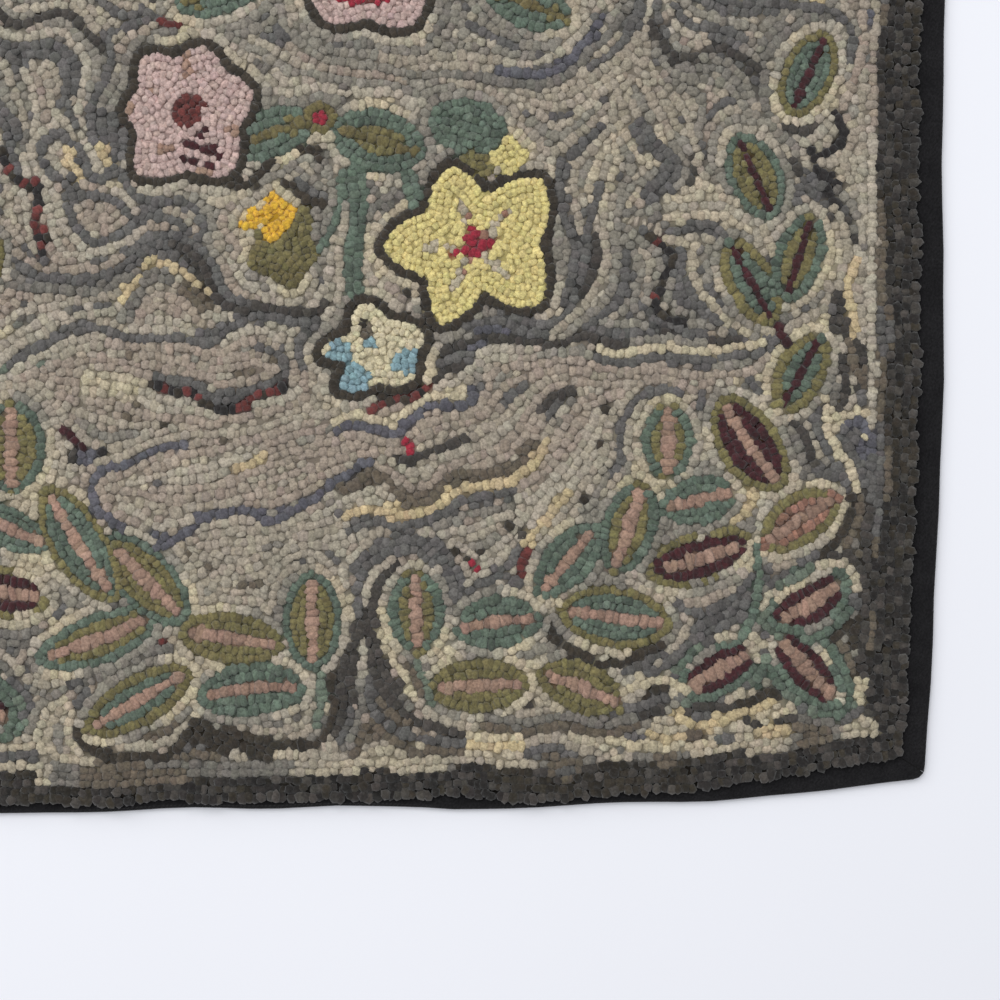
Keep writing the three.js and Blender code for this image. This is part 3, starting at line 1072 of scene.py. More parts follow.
class Flow:
    """The direction that the ground's rows run in, led by the rows that are hooked first."""

    WANDER = 0.5
    SOFTEN = 6.0

    def __init__(self, rows: list[Row], half_size: Point, cell: float = 6.0, every: int = 3) -> None:
        """Spreads the directions of the hooked rows over the rug.

        Each direction is kept as the sine and cosine of twice its angle, so that both ways along a row agree.

        Args:
            rows: the rows hooked so far.
            half_size: half the rug's width and length in millimetres.
            cell: the spacing of the places where a direction is kept.
            every: which samples of a row count.
        """
        places, doubled = [], []
        for row in rows:
            if len(row.path) <= every:
                continue
            tangent = np.gradient(row.path, axis=0)
            angle = 2 * np.arctan2(tangent[:, 1], tangent[:, 0])
            places.append(row.path[::every])
            doubled.append(np.stack([np.cos(angle), np.sin(angle)], axis=1)[::every])
        points, turns = np.vstack(places), np.vstack(doubled)
        self.cell, self.low = cell, (-half_size[0] - cell, -half_size[1] - cell)
        across = int(2 * half_size[0] / cell) + 3
        along = int(2 * half_size[1] / cell) + 3
        xs = self.low[0] + cell * np.arange(across)
        grid = []
        for j in range(along):
            dx = xs[:, None] - points[None, :, 0]
            dy = self.low[1] + cell * j - points[None, :, 1]
            weight = 1.0 / (dx * dx + dy * dy + self.SOFTEN) ** 2
            grid.append(weight @ turns)
        values = np.array(grid)
        values /= np.maximum(np.linalg.norm(values, axis=2, keepdims=True), 1e-12)
        self.values = values.tolist()

    def heading(self, x: float, y: float, like: Point) -> Point:
        """The row's direction at a point.

        Args:
            x: across the rug.
            y: along the rug.
            like: a direction that the answer may not turn back from.

        Returns:
            A direction of length one.
        """
        u, v = (x - self.low[0]) / self.cell, (y - self.low[1]) / self.cell
        i, j = int(u), int(v)
        s, t = u - i, v - j
        a, b = self.values[j][i], self.values[j][i + 1]
        c, d = self.values[j + 1][i], self.values[j + 1][i + 1]
        co, si = ((a[k] * (1 - s) + b[k] * s) * (1 - t) + (c[k] * (1 - s) + d[k] * s) * t for k in range(2))
        angle = 0.5 * math.atan2(si, co) + self.WANDER * (FLECKS.at(x, y) - 0.5)
        dx, dy = math.cos(angle), math.sin(angle)
        return (dx, dy) if dx * like[0] + dy * like[1] >= 0 else (-dx, -dy)


@dataclass(frozen=True)
class Patch:
    """A part of the ground with wools of its own."""

    x: float
    y: float
    across: float
    along: float
    wools: tuple[Wool, ...]
    busy: float

    def weight(self, x: float, y: float) -> float:
        """How much the patch counts at a point, from 0 outside it to 1 in its middle."""
        far = ((x - self.x) / self.across) ** 2 + ((y - self.y) / self.along) ** 2
        return max(0.0, 1.0 - far)


CALM = (Wool.TAUPE, Wool.TAUPE, Wool.STONE, Wool.MUSHROOM, Wool.TAUPE, Wool.DOVE)
PALE = (Wool.STONE, Wool.TAUPE, Wool.DOVE, Wool.OATMEAL, Wool.TAUPE, Wool.DOVE)
DARK = (Wool.SLATE, Wool.CHARCOAL, Wool.SLATE, Wool.ASH, Wool.SLATE, Wool.BLUE_SLATE)
DUSK = (Wool.ASH, Wool.DOVE, Wool.SLATE, Wool.MUSHROOM, Wool.ASH)
DIM = (Wool.ASH, Wool.SLATE, Wool.ASH, Wool.DOVE, Wool.SLATE)
EARTHY = (Wool.TAUPE, Wool.ASH, Wool.DOVE, Wool.BARK, Wool.TAUPE, Wool.OATMEAL)
STRIPED = (Wool.STONE, Wool.SLATE, Wool.DOVE, Wool.CHARCOAL, Wool.TAUPE, Wool.SLATE, Wool.DOVE)
BUSY = (Wool.OATMEAL, Wool.SLATE, Wool.TAUPE, Wool.CHARCOAL, Wool.STONE, Wool.ASH, Wool.SOOT,
        Wool.STONE, Wool.SLATE, Wool.CREAM, Wool.BARK)
MIXED = (Wool.TAUPE, Wool.DOVE, Wool.ASH, Wool.TAUPE, Wool.SLATE, Wool.DOVE, Wool.STONE, Wool.MUSHROOM)
EVEN = (CALM, PALE, DARK, DUSK, DIM)
ACCENTS = (Wool.BRICK, Wool.SAGE, Wool.STRAW, Wool.MAROON)

PATCHES = (
    Patch(-90, -272, 150, 66, CALM, 0.2),
    Patch(-30, -190, 60, 52, CALM, 0.3),
    Patch(-160, -170, 50, 74, CALM, 0.45),
    Patch(50, -262, 74, 40, CALM, 0.45),
    Patch(150, -120, 58, 55, PALE, 0.45),
    Patch(116, -222, 104, 36, STRIPED, 0.85),
    Patch(118, -160, 26, 50, STRIPED, 0.8),
    Patch(175, -177, 24, 28, DUSK, 0.6),
    Patch(226, -115, 18, 32, DARK, 0.4),
    Patch(-160, -376, 60, 24, DIM, 0.4),
    Patch(-178, -398, 46, 44, DIM, 0.5),
    Patch(-48, -120, 40, 26, PALE, 0.5),
    Patch(254, -258, 28, 72, DARK, 0.35),
    Patch(257, -345, 24, 52, BUSY, 0.8),
    Patch(212, -335, 34, 30, DUSK, 0.4),
    Patch(262, -150, 24, 60, PALE, 0.5),
    Patch(180, -405, 120, 44, BUSY, 0.85),
    Patch(80, -420, 130, 34, EARTHY, 0.8),
    Patch(0, -375, 26, 56, BUSY, 0.7),
    Patch(-110, -425, 130, 30, EARTHY, 0.75),
    Patch(-258, -300, 40, 150, DUSK, 0.5),
    Patch(-255, -150, 34, 90, PALE, 0.5),
    Patch(0, -50, 130, 40, MIXED, 0.6),
)


@dataclass
class Ground:
    """The hit-or-miss ground: rows that fill whatever the design leaves, each of one wool after another.

    A strip's length in millimetres lies between two numbers, and is less where the ground is busy.
    """

    canvas: Canvas
    flow: Flow
    accent_chance: float = 0.01
    change_chance: float = 0.75
    strip: Point = (45.0, 170.0)
    accent_strip: Point = (7.0, 16.0)
    last_samples: int = 6
    most_samples: int = 330
    own_samples: int = 4
    plug_step: float = 1.7
    plug_half: float = 0.8
    rng: np.random.Generator = field(default_factory=lambda: np.random.default_rng(SEED))

    def patch(self, x: float, y: float) -> tuple[tuple[Wool, ...], float]:
        """Finds what the ground is like at a point.

        Args:
            x: across the rug.
            y: along the rug.

        Returns:
            The wools used there, and how often neighbouring rows differ.
        """
        if y > 0:
            x, y = -x, -y
        best = max(PATCHES, key=lambda patch: patch.weight(x, y))
        return (best.wools, best.busy) if best.weight(x, y) > 0.02 else (MIXED, 0.55)

    def pick(self, x: float, y: float, beside: Optional[Wool]) -> Wool:
        """The wool that a new row is hooked in.

        Args:
            x: across the rug.
            y: along the rug.
            beside: the wool of the row beside it, if any.

        Returns:
            The wool.
        """
        wools, busy = self.patch(x, y)
        if beside in wools and self.rng.random() > busy:
            return beside
        if self.rng.random() < self.accent_chance:
            return ACCENTS[int(self.rng.integers(len(ACCENTS)))]
        if wools in EVEN:
            tone = DRIFT.at(0.8 * x - 40, 0.8 * y) * 0.7 + 0.3 * self.rng.random()
            return wools[min(int(tone * len(wools)), len(wools) - 1)]
        others = [wool for wool in wools if wool is not beside]
        return others[int(self.rng.integers(len(others)))]

    def trace(self, x: float, y: float, like: Point) -> list[Point]:
        """Follows the flow both ways from a point until other rows are too close.

        Args:
            x: across the rug.
            y: along the rug.
            like: the direction of the row beside it.

        Returns:
            The new row's path.
        """
        half, number, step = HOOKING.row_width / 2, len(self.canvas.rows), HOOKING.step
        self.canvas.put(x, y, half, number, 0)
        sides: list[list[Point]] = []
        for way in (1, -1):
            side: list[Point] = []
            heading = (like[0] * way, like[1] * way)
            px, py = x, y
            for place in range(1, self.most_samples):
                first = self.flow.heading(px, py, heading)
                heading = self.flow.heading(px + first[0] * step / 2, py + first[1] * step / 2, first)
                px, py = px + heading[0] * step, py + heading[1] * step
                if not self.canvas.free(px, py, half, HOOKING.closest_rows, number, way * place,
                                        self.own_samples):
                    break
                self.canvas.put(px, py, half, number, way * place)
                side.append((px, py))
            sides.append(side)
        return [*reversed(sides[1]), (x, y), *sides[0]]

    def fill(self) -> None:
        """Hooks rows beside rows until nothing more fits."""
        waiting = deque(range(len(self.canvas.rows)))
        half = HOOKING.row_width / 2
        while waiting:
            row = self.canvas.rows[waiting.popleft()]
            if len(row.path) < 3:
                continue
            tangent = unit(np.gradient(row.path, axis=0))
            apart = row.width / 2 + half
            for (x, y), (tx, ty) in zip(row.path.tolist()[::2], tangent.tolist()[::2]):
                for side in (1, -1):
                    sx, sy = x - ty * apart * side, y + tx * apart * side
                    if not self.canvas.free(sx, sy, half, HOOKING.new_rows):
                        continue
                    number = len(self.canvas.rows)
                    path = self.trace(sx, sy, (tx, ty))
                    if (len(path) - 1) * HOOKING.step < HOOKING.shortest_row:
                        self.canvas.take_back(path, number)
                        continue
                    wool = row.paint if isinstance(row.paint, Wool) else None
                    self.canvas.keep(Row(np.array(path), self.pick(sx, sy, wool), Group.GROUND), True)
                    waiting.append(number)

    def cut_lengths(self, first: int) -> None:
        """Changes the wool along long rows, as one strip runs out and another is begun.

        Args:
            first: the number of the ground's first row.
        """
        whole, self.canvas.rows = self.canvas.rows[first:], self.canvas.rows[:first]
        for row in whole:
            start, wool = 0, row.paint
            while start < len(row.path):
                x, y = row.path[start]
                busy = self.patch(x, y)[1]
                size = int(self.rng.uniform(*self.strip) * (1.3 - 0.8 * busy) / HOOKING.step)
                if wool in ACCENTS:
                    size = int(self.rng.uniform(*self.accent_strip) / HOOKING.step)
                is_last = len(row.path) - start < size + self.last_samples
                end = len(row.path) if is_last else start + size
                self.canvas.rows.append(replace(row, path=row.path[start:end], paint=wool))
                start = end
                if wool in ACCENTS or self.rng.random() < self.change_chance:
                    wool = self.pick(x, y, wool)

    def plug(self, inside: Callable[[float, float], bool], half_size: Point) -> None:
        """Puts single loops where the rows left room for one, in the wool of the ground beside them.

        Args:
            inside: says whether a point is on the hooked field.
            half_size: half the rug's width and length in millimetres.
        """
        columns, lines = (np.arange(-half, half, self.plug_step).tolist() for half in half_size)
        for y in lines:
            for x in columns:
                if self.canvas.free(x, y, HOOKING.row_width / 2, HOOKING.plug_rows) and inside(x, y):
                    dx, dy = (part * self.plug_half for part in self.flow.heading(x, y, (1.0, 0.0)))
                    path = np.array([[x - dx, y - dy], [x + dx, y + dy]])
                    row = self.canvas.beside(x, y)
                    same = row is not None and row.group in (Group.GROUND, Group.BORDER)
                    self.canvas.keep(Row(path, row.paint if same else self.pick(x, y, None), Group.GROUND))


LOOP_CORNERS = (
    (0.30, 0.16, 0.0), (-0.30, 0.16, 0.0), (0.0, -0.34, 0.0),
    (0.60, 0.34, 0.80), (0.0, 0.60, 0.78), (-0.60, 0.34, 0.80),
    (-0.60, -0.34, 0.80), (0.0, -0.60, 0.78), (0.60, -0.34, 0.80),
    (0.36, 0.33, 1.0), (-0.36, 0.33, 1.0), (-0.36, -0.33, 1.0), (0.36, -0.33, 1.0),
)
LOOP_FACES = (
    (0, 4, 3), (0, 1, 5, 4), (1, 6, 5), (1, 2, 7, 6), (2, 8, 7), (2, 0, 3, 8),
    (8, 3, 9, 12), (3, 4, 9), (4, 10, 9), (4, 5, 10), (5, 6, 11, 10), (6, 7, 11),
    (7, 12, 11), (7, 8, 12), (9, 10, 11, 12), (2, 1, 0),
)
LOOP_TRIANGLES = sum(len(face) - 2 for face in LOOP_FACES)


@dataclass
class Loops:
    """All the loops of wool: where each stands, its size, its colour and the piece it is in."""

    place: np.ndarray
    along: np.ndarray
    width: np.ndarray
    length: np.ndarray
    colour: np.ndarray
    group: list[Group]

    @staticmethod
    def spaced(row: Row) -> tuple[np.ndarray, np.ndarray, float]:
        """Spaces loops along a row.

        Args:
            row: the row.

        Returns:
            The loops' places, the row's direction at each, and how far apart they are.
        """
        points = spread_along(row.path, row.pitch, row.closed)
        if len(row.path) == 2:
            return points.mean(axis=0, keepdims=True), unit(np.diff(row.path, axis=0)), row.pitch
        ends = [points[-1:], points, points[:1]] if row.closed else [points]
        tangent = np.gradient(np.vstack(ends), axis=0)
        tangent = tangent[1:-1] if row.closed else tangent
        return points, unit(tangent), np.linalg.norm(points[1] - points[0])

    @classmethod
    def from_rows(cls, rows: list[Row], rng: np.random.Generator) -> "Loops":
        """Pulls the loops of each row.

        Args:
            rows: every hooked row.
            rng: the source of small differences.

        Returns:
            The loops, each as wide as its row.
        """
        place, along, width, length, colour, group = [], [], [], [], [], []
        for row in rows:
            points, tangent, apart = cls.spaced(row)
            tint = 1 + PILE.tint * rng.standard_normal()
            if len(points) > 1:
                loose = PILE.loose if row.group in (Group.GROUND, Group.BORDER) else PILE.loose / 2
                points = points + loose * rng.standard_normal(points.shape).clip(-1.8, 1.8)
            for x, y in points.tolist():
                wool = wool_at(row.paint, x, y)
                shade = tint * (1 + wool.value[3] * rng.standard_normal())
                hue = 1 + PILE.hue * rng.standard_normal(3)
                colour.append(wool.linear() * hue * min(max(shade, PILE.shade[0]), PILE.shade[1]))
            place.append(points)
            along.append(tangent)
            width += [row.width] * len(points)
            length += [apart] * len(points)
            group += [row.group] * len(points)
        return cls(np.vstack(place), np.vstack(along), np.array(width), np.array(length),
                   np.array(colour), group)

    def dye_inside(self, shapes: list[Union[Leaf, Bloom]], rng: np.random.Generator) -> None:
        """Gives loops that fill a gap in a leaf or flower its wool.

        Args:
            shapes: the leaves and flowers.
            rng: the source of small differences.
        """
        ground = np.array([group is Group.GROUND for group in self.group])
        for shape in shapes:
            outline = Outline(shape.outline())
            reach = np.linalg.norm(outline.points - [shape.x, shape.y], axis=1).max()
            near = ground & (np.linalg.norm(self.place - [shape.x, shape.y], axis=1) < reach)
            for number in np.flatnonzero(near).tolist():
                x, y = self.place[number].tolist()
                if outline.inside(x, y):
                    wool = shape.paint(x, y)
                    self.colour[number] = wool.linear() * (1 + wool.value[3] * rng.standard_normal())

    def tree(self) -> kdtree.KDTree:
        """Sorts the loops by place.

        Returns:
            A search tree of their places in millimetres.
        """
        tree = kdtree.KDTree(len(self.place))
        for number, (x, y) in enumerate(self.place.tolist()):
            tree.insert((x, y, 0.0), number)
        tree.balance()
        return tree

    def settle(self) -> None:
        """Spreads each loop until it meets the rows on both sides, as the wool does."""
        tree = self.tree()
        place, along = self.place.tolist(), self.along.tolist()
        width, length = self.width.tolist(), self.length.tolist()
        for number, ((x, y), (tx, ty)) in enumerate(zip(place, along)):
            half = width[number] / 2
            reach = {1: PILE.widest * half, -1: PILE.widest * half}
            for (ox, oy, _), other, _ in tree.find_range((x, y, 0.0), PILE.look):
                dx, dy = ox - x, oy - y
                across, ahead = -dx * ty + dy * tx, dx * tx + dy * ty
                abreast = PILE.abreast[0] * length[number] + PILE.abreast[1]
                if abs(across) < PILE.own_row or abs(ahead) > abreast:
                    continue
                cx, cy = along[other]
                turn = abs(tx * cx + ty * cy)
                theirs = 0.5 * (turn * width[other] + (1 - turn) * length[other])
                side = 1 if across > 0 else -1
                reach[side] = min(reach[side], abs(across) * half / (half + theirs))
            up, down = (max(reach[side], PILE.narrowest * half) for side in (1, -1))
            shift = (up - down) / 2
            self.place[number] = [x - ty * shift, y + tx * shift]
            self.width[number] = up + down

    def corners(self, chosen: np.ndarray, rng: np.random.Generator) -> np.ndarray:
        """Shapes the chosen loops, each a little unlike the others.

        Args:
            chosen: the numbers of the loops.
            rng: the source of small differences.

        Returns:
            The corners of each loop in metres.
        """
        count, corner = len(chosen), np.array(LOOP_CORNERS)[None]
        each = (count, len(LOOP_CORNERS))
        turn = PILE.twist * rng.standard_normal(count)
        tx = self.along[chosen, 0] * np.cos(turn) - self.along[chosen, 1] * np.sin(turn)
        ty = self.along[chosen, 0] * np.sin(turn) + self.along[chosen, 1] * np.cos(turn)
        long = self.length[chosen] * (PILE.long[0] + PILE.long[1] * rng.standard_normal(count))
        wide = self.width[chosen] * (PILE.wide[0] + PILE.wide[1] * rng.standard_normal(count))
        height = PILE.top - PILE.foot + PILE.uneven * np.clip(rng.standard_normal(count), -1.6, 1.6)
        lean = PILE.lean * rng.standard_normal((count, 2))
        u = corner[:, :, 0] * long[:, None] * (1 + PILE.dent * rng.standard_normal(each))
        v = corner[:, :, 1] * wide[:, None] * (1 + PILE.dent * rng.standard_normal(each))
        crown = PILE.crown * rng.standard_normal(each) * (corner[:, :, 2] > 0.9)
        rise = corner[:, :, 2] * (1 + crown)
        x = self.place[chosen, 0, None] + tx[:, None] * u - ty[:, None] * v + lean[:, 0, None] * rise
        y = self.place[chosen, 1, None] + ty[:, None] * u + tx[:, None] * v + lean[:, 1, None] * rise
        z = PILE.foot + rise * height[:, None]
        return np.stack([x, y, z], axis=2) * MM

    def mesh(self, name: str, chosen: np.ndarray, rng: np.random.Generator) -> bpy.types.Mesh:
        """Joins the chosen loops into one mesh.

        Args:
            name: the mesh's name.
            chosen: the numbers of the loops.
            rng: the source of small differences.

        Returns:
            The mesh, with the wools' colours in its attribute "wool".
        """
        points = self.corners(chosen, rng)
        count, each = points.shape[:2]
        sizes = np.tile([len(face) for face in LOOP_FACES], count)
        order = np.concatenate([np.array(face) for face in LOOP_FACES])
        used = (order[None, :] + each * np.arange(count)[:, None]).ravel()
        mesh = bpy.data.meshes.new(name)
        mesh.vertices.add(count * each)
        mesh.vertices.foreach_set("co", points.ravel())
        mesh.loops.add(len(used))
        mesh.loops.foreach_set("vertex_index", used)
        mesh.polygons.add(len(sizes))
        mesh.polygons.foreach_set("loop_start", np.concatenate([[0], np.cumsum(sizes)[:-1]]))
        mesh.polygons.foreach_set("use_smooth", np.ones(len(sizes), dtype=bool))
        mesh.update(calc_edges=True)
        colour = np.ones((count, each, 4))
        mottled = 1 + PILE.mottled * rng.standard_normal((count, each, 1))
        colour[:, :, :3] = self.colour[chosen][:, None, :] * mottled
        dye(mesh, colour)
        return mesh


def dye(mesh: bpy.types.Mesh, colour: np.ndarray) -> None:
    """Keeps the wools' colours in a mesh, as its attribute "wool".

    Args:
        mesh: the mesh.
        colour: red, green, blue and alpha for each of its points.
    """
    mesh.color_attributes.new("wool", "FLOAT_COLOR", "POINT").data.foreach_set("color", colour.ravel())


def grey(level: float) -> tuple[float, float, float]:
    """A grey in linear light."""
    return level, level, level


class Shader:
    """A material's nodes, added one at a time. Its patterns lie in the object's own space."""

    def __init__(self, name: str, **values: float) -> None:
        """Starts a material with a Principled shader.

        Args:
            name: the material's name.
            values: the shader's own numbers, named with _ for each blank.
        """
        self.material = bpy.data.materials.new(name)
        self.material.use_nodes = True
        self.tree = self.material.node_tree
        self.surface = self.tree.nodes["Principled BSDF"]
        for key, value in values.items():
            self.surface.inputs[key.replace("_", " ")].default_value = value
        self.place = self.add("ShaderNodeTexCoord").outputs["Object"]

    def add(self, kind: str, links: Optional[dict] = None, values: Optional[dict] = None,
            **settings: object) -> bpy.types.Node:
        """Adds a node.

        Args:
            kind: the node's type.
            links: the output socket that feeds each input.
            values: the value of each unlinked input.
            settings: the node's own settings.

        Returns:
            The node.
        """
        node = self.tree.nodes.new(kind)
        for key, value in settings.items():
            setattr(node, key, value)
        for key, value in (values or {}).items():
            node.inputs[key].default_value = value
        for key, socket in (links or {}).items():
            self.tree.links.new(socket, node.inputs[key])
        return node

    def colour(self, socket: bpy.types.NodeSocket) -> None:
        """Gives the surface its colour."""
        self.tree.links.new(socket, self.surface.inputs["Base Color"])

    def bump(self, height: bpy.types.NodeSocket, strength: float, distance: float) -> None:
        """Gives the surface its fine relief.

        Args:
            height: the relief's height from 0 to 1.
            strength: how strongly it shows.
            distance: how deep it is, in millimetres.
        """
        values = {"Strength": strength, "Distance": distance * MM}
        node = self.add("ShaderNodeBump", {"Height": height}, values)
        self.tree.links.new(node.outputs["Normal"], self.surface.inputs["Normal"])

    def dyed(self) -> bpy.types.NodeSocket:
        """The wools' colours, which the meshes carry."""
        return self.add("ShaderNodeAttribute", attribute_name="wool").outputs["Color"]

    def noise(self, scale: float, detail: float, roughness: float = 0.5) -> bpy.types.NodeSocket:
        """Adds a cloudy pattern.

        Args:
            scale: how fine it is.
            detail: how many finer layers it has.
            roughness: how strong those are.

        Returns:
            The pattern, from 0 to 1.
        """
        values = {"Scale": scale, "Detail": detail, "Roughness": roughness}
        return self.add("ShaderNodeTexNoise", {"Vector": self.place}, values).outputs["Fac"]

    def threads(self, density: float, degrees: float, distortion: float) -> bpy.types.NodeSocket:
        """Adds parallel threads.

        Args:
            density: how many radians of the wave a metre holds.
            degrees: the threads' turn.
            distortion: how crooked they are.

        Returns:
            Their height, from 0 to 1.
        """
        turn = {"Rotation": (0.0, 0.0, math.radians(degrees))}
        place = self.add("ShaderNodeMapping", {"Vector": self.place}, turn)
        values = {"Scale": density / 6.2832, "Distortion": distortion, "Detail": 1.0}
        return self.add("ShaderNodeTexWave", {"Vector": place.outputs["Vector"]}, values).outputs["Fac"]

    def between(self, value: bpy.types.NodeSocket, low: float, high: float,
                least: float = 0.0) -> bpy.types.NodeSocket:
        """Spreads part of a range from 0 to 1.

        Args:
            value: the number that is spread.
            low: its value where the result is least.
            high: its value where the result is 1.
            least: the least result.

        Returns:
            The result.
        """
        values = {"From Min": low, "From Max": high, "To Min": least, "To Max": 1.0}
        return self.add("ShaderNodeMapRange", {"Value": value}, values).outputs["Result"]

    def rise(self, low: float, high: float) -> bpy.types.NodeSocket:
        """How far a point is on the way from one height to another, both in millimetres."""
        height = self.add("ShaderNodeSeparateXYZ", {"Vector": self.place}).outputs["Z"]
        return self.between(height, low * MM, high * MM)

    def ramp(self, fac: bpy.types.NodeSocket, *stops: tuple[float, tuple]) -> bpy.types.NodeSocket:
        """Adds a colour ramp.

        Args:
            fac: what drives it.
            stops: places and linear colours.

        Returns:
            The ramp's colour.
        """
        node = self.add("ShaderNodeValToRGB", {"Fac": fac})
        for element, (at, colour) in zip(node.color_ramp.elements, stops):
            element.position = at
            element.color = (*colour, 1.0)
        return node.outputs["Color"]

    def mix(self, a: object, b: object, fac: object = 1.0, blend: str = "MULTIPLY") -> bpy.types.NodeSocket:
        """Mixes two colours, each a socket or a linear colour.

        Args:
            a: the first colour.
            b: the second colour.
            fac: how much of the second, a number or a socket.
            blend: how they are mixed.

        Returns:
            The mixed colour.
        """
        node = self.add("ShaderNodeMix", data_type="RGBA", blend_type=blend)
        for number, value in ((0, fac), (6, a), (7, b)):
            if isinstance(value, bpy.types.NodeSocket):
                self.tree.links.new(value, node.inputs[number])
            else:
                node.inputs[number].default_value = (*value, 1.0) if isinstance(value, tuple) else value
        return node.outputs[2]


@dataclass(frozen=True)
class WoolFinish:
    """Wool cloth strips: dyed, fulled and a little fuzzy, with painted shade that darkens them down between
    the loops.
    """

    roughness: float = 0.94
    sheen: float = 0.22
    sheen_roughness: float = 0.6
    gloss: float = 0.12
    fleck: float = 700.0
    fleck_dark: tuple = (0.80, 0.79, 0.78)
    fleck_light: tuple = (1.20, 1.19, 1.17)
    lint_scale: float = 460.0
    lint: tuple = (0.020, 0.0195, 0.019)
    # Painted shade: the wool is multiplied by this colour at the lower of two heights in millimetres, and the
    # darkening fades out by the higher.
    painted_shade: tuple = (0.78, 0.77, 0.76)
    painted_shade_heights: Point = (5.4, 7.9)
    fuzz: float = 1500.0

    def make(self) -> bpy.types.Material:
        """Makes the wool's material.

        Returns:
            The material.
        """
        s = Shader("wool", Roughness=self.roughness, Sheen_Weight=self.sheen,
                   Sheen_Roughness=self.sheen_roughness, Specular_IOR_Level=self.gloss)
        tweed = s.ramp(s.noise(self.fleck, 3.0, 0.65), (0.42, self.fleck_dark), (0.58, self.fleck_light))
        lint = s.ramp(s.noise(self.lint_scale, 4.0, 0.75), (0.5, grey(0.0)), (0.68, self.lint))
        woven = s.mix(s.mix(s.dyed(), tweed), lint, 1.0, "ADD")
        # Painted shade: the wool is darkened towards the loops' feet, as the shade between the loops would
        # darken it.
        s.colour(s.mix(woven, s.ramp(s.rise(*self.painted_shade_heights), (0.0, self.painted_shade), (1.0, grey(1.0)))))
        s.bump(s.noise(self.fuzz, 3.0, 0.7), 0.5, 0.5)
        return s.material


@dataclass(frozen=True)
class TapeFinish:
    """The binding: black woven cotton tape gone slightly grey."""

    dark: tuple = (0.0065, 0.0062, 0.0070)
    worn: tuple = (0.0150, 0.0145, 0.0155)
    roughness: float = 0.88
    sheen: float = 0.08
    sheen_roughness: float = 0.5
    gloss: float = 0.1
    wear: float = 60.0
    lint: float = 900.0
    twill: float = 1150.0
    twill_turn: float = 38.0

    def make(self) -> bpy.types.Material:
        """Makes the tape's material.

        Returns:
            The material.
        """
        s = Shader("binding_tape", Roughness=self.roughness, Sheen_Weight=self.sheen,
                   Sheen_Roughness=self.sheen_roughness, Specular_IOR_Level=self.gloss)
        base = s.ramp(s.noise(self.wear, 5.0, 0.7), (0.3, self.dark), (0.8, self.worn))
        lint = s.noise(self.lint, 2.0, 0.8)
        s.colour(s.mix(base, s.ramp(lint, (0.35, grey(0.7)), (0.8, grey(2.1)))))
        s.bump(s.mix(s.threads(self.twill, self.twill_turn, 1.2), lint, 0.45, "MIX"), 0.6, 0.4)
        return s.material


@dataclass(frozen=True)
class BurlapFinish:
    """Burlap with the flat backs of the hooked rows showing through it, and wool where the loops stand."""

    burlap: tuple = (0.20, 0.15, 0.09)
    roughness: float = 0.93
    gloss: float = 0.12
    weave: float = 620.0
    slub: float = 260.0
    stitches: float = 290.0
    loose: float = 0.75
    stitch_edge: Point = (0.06, 0.14)
    least_wool: float = 0.1
    packed_from: Point = (1.6, 2.4)

    def make(self) -> bpy.types.Material:
        """Makes the burlap's material.

        Returns:
            The material.
        """
        s = Shader("burlap", Roughness=self.roughness, Specular_IOR_Level=self.gloss)
        weave = s.mix(s.threads(self.weave, 0.0, 0.8), s.threads(self.weave, 90.0, 0.8))
        jute = s.mix(self.burlap, s.ramp(s.noise(self.slub, 3.0), (0.3, grey(0.6)), (0.7, grey(1.3))))
        stitch = s.add("ShaderNodeTexVoronoi", {"Vector": s.place},
                       {"Scale": self.stitches, "Randomness": self.loose},
                       feature="DISTANCE_TO_EDGE").outputs["Distance"]
        shown = s.between(stitch, *self.stitch_edge, self.least_wool)
        packed = s.rise(*self.packed_from)
        wool = s.add("ShaderNodeMath", {0: shown, 1: packed}, operation="MAXIMUM").outputs["Value"]
        # The wool colour comes from the foundation's attribute, which holds painted shade on the raised top.
        s.colour(s.mix(jute, s.dyed(), wool, "MIX"))
        s.bump(s.mix(weave, stitch, 0.6, "MIX"), 0.7, 0.8)
        return s.material


@dataclass(frozen=True)
class FloorFinish:
    """The pale matt floor."""

    tone: tuple = (0.86, 0.87, 0.92)
    roughness: float = 0.9
    mottle: float = 3.0

    def make(self) -> bpy.types.Material:
        """Makes the floor's material.

        Returns:
            The material.
        """
        s = Shader("floor", Roughness=self.roughness)
        mottle = s.ramp(s.noise(self.mottle, 2.0), (0.3, grey(0.985)), (0.7, grey(1.0)))
        s.colour(s.mix(self.tone, mottle))
        return s.material


class Side(Enum):
    """The rug's four sides: the signs of the corners that each runs between, counter-clockwise."""

    NEAR = ((-1, -1), (1, -1))
    RIGHT = ((1, -1), (1, 1))
    FAR = ((1, 1), (-1, 1))
    LEFT = ((-1, 1), (-1, -1))


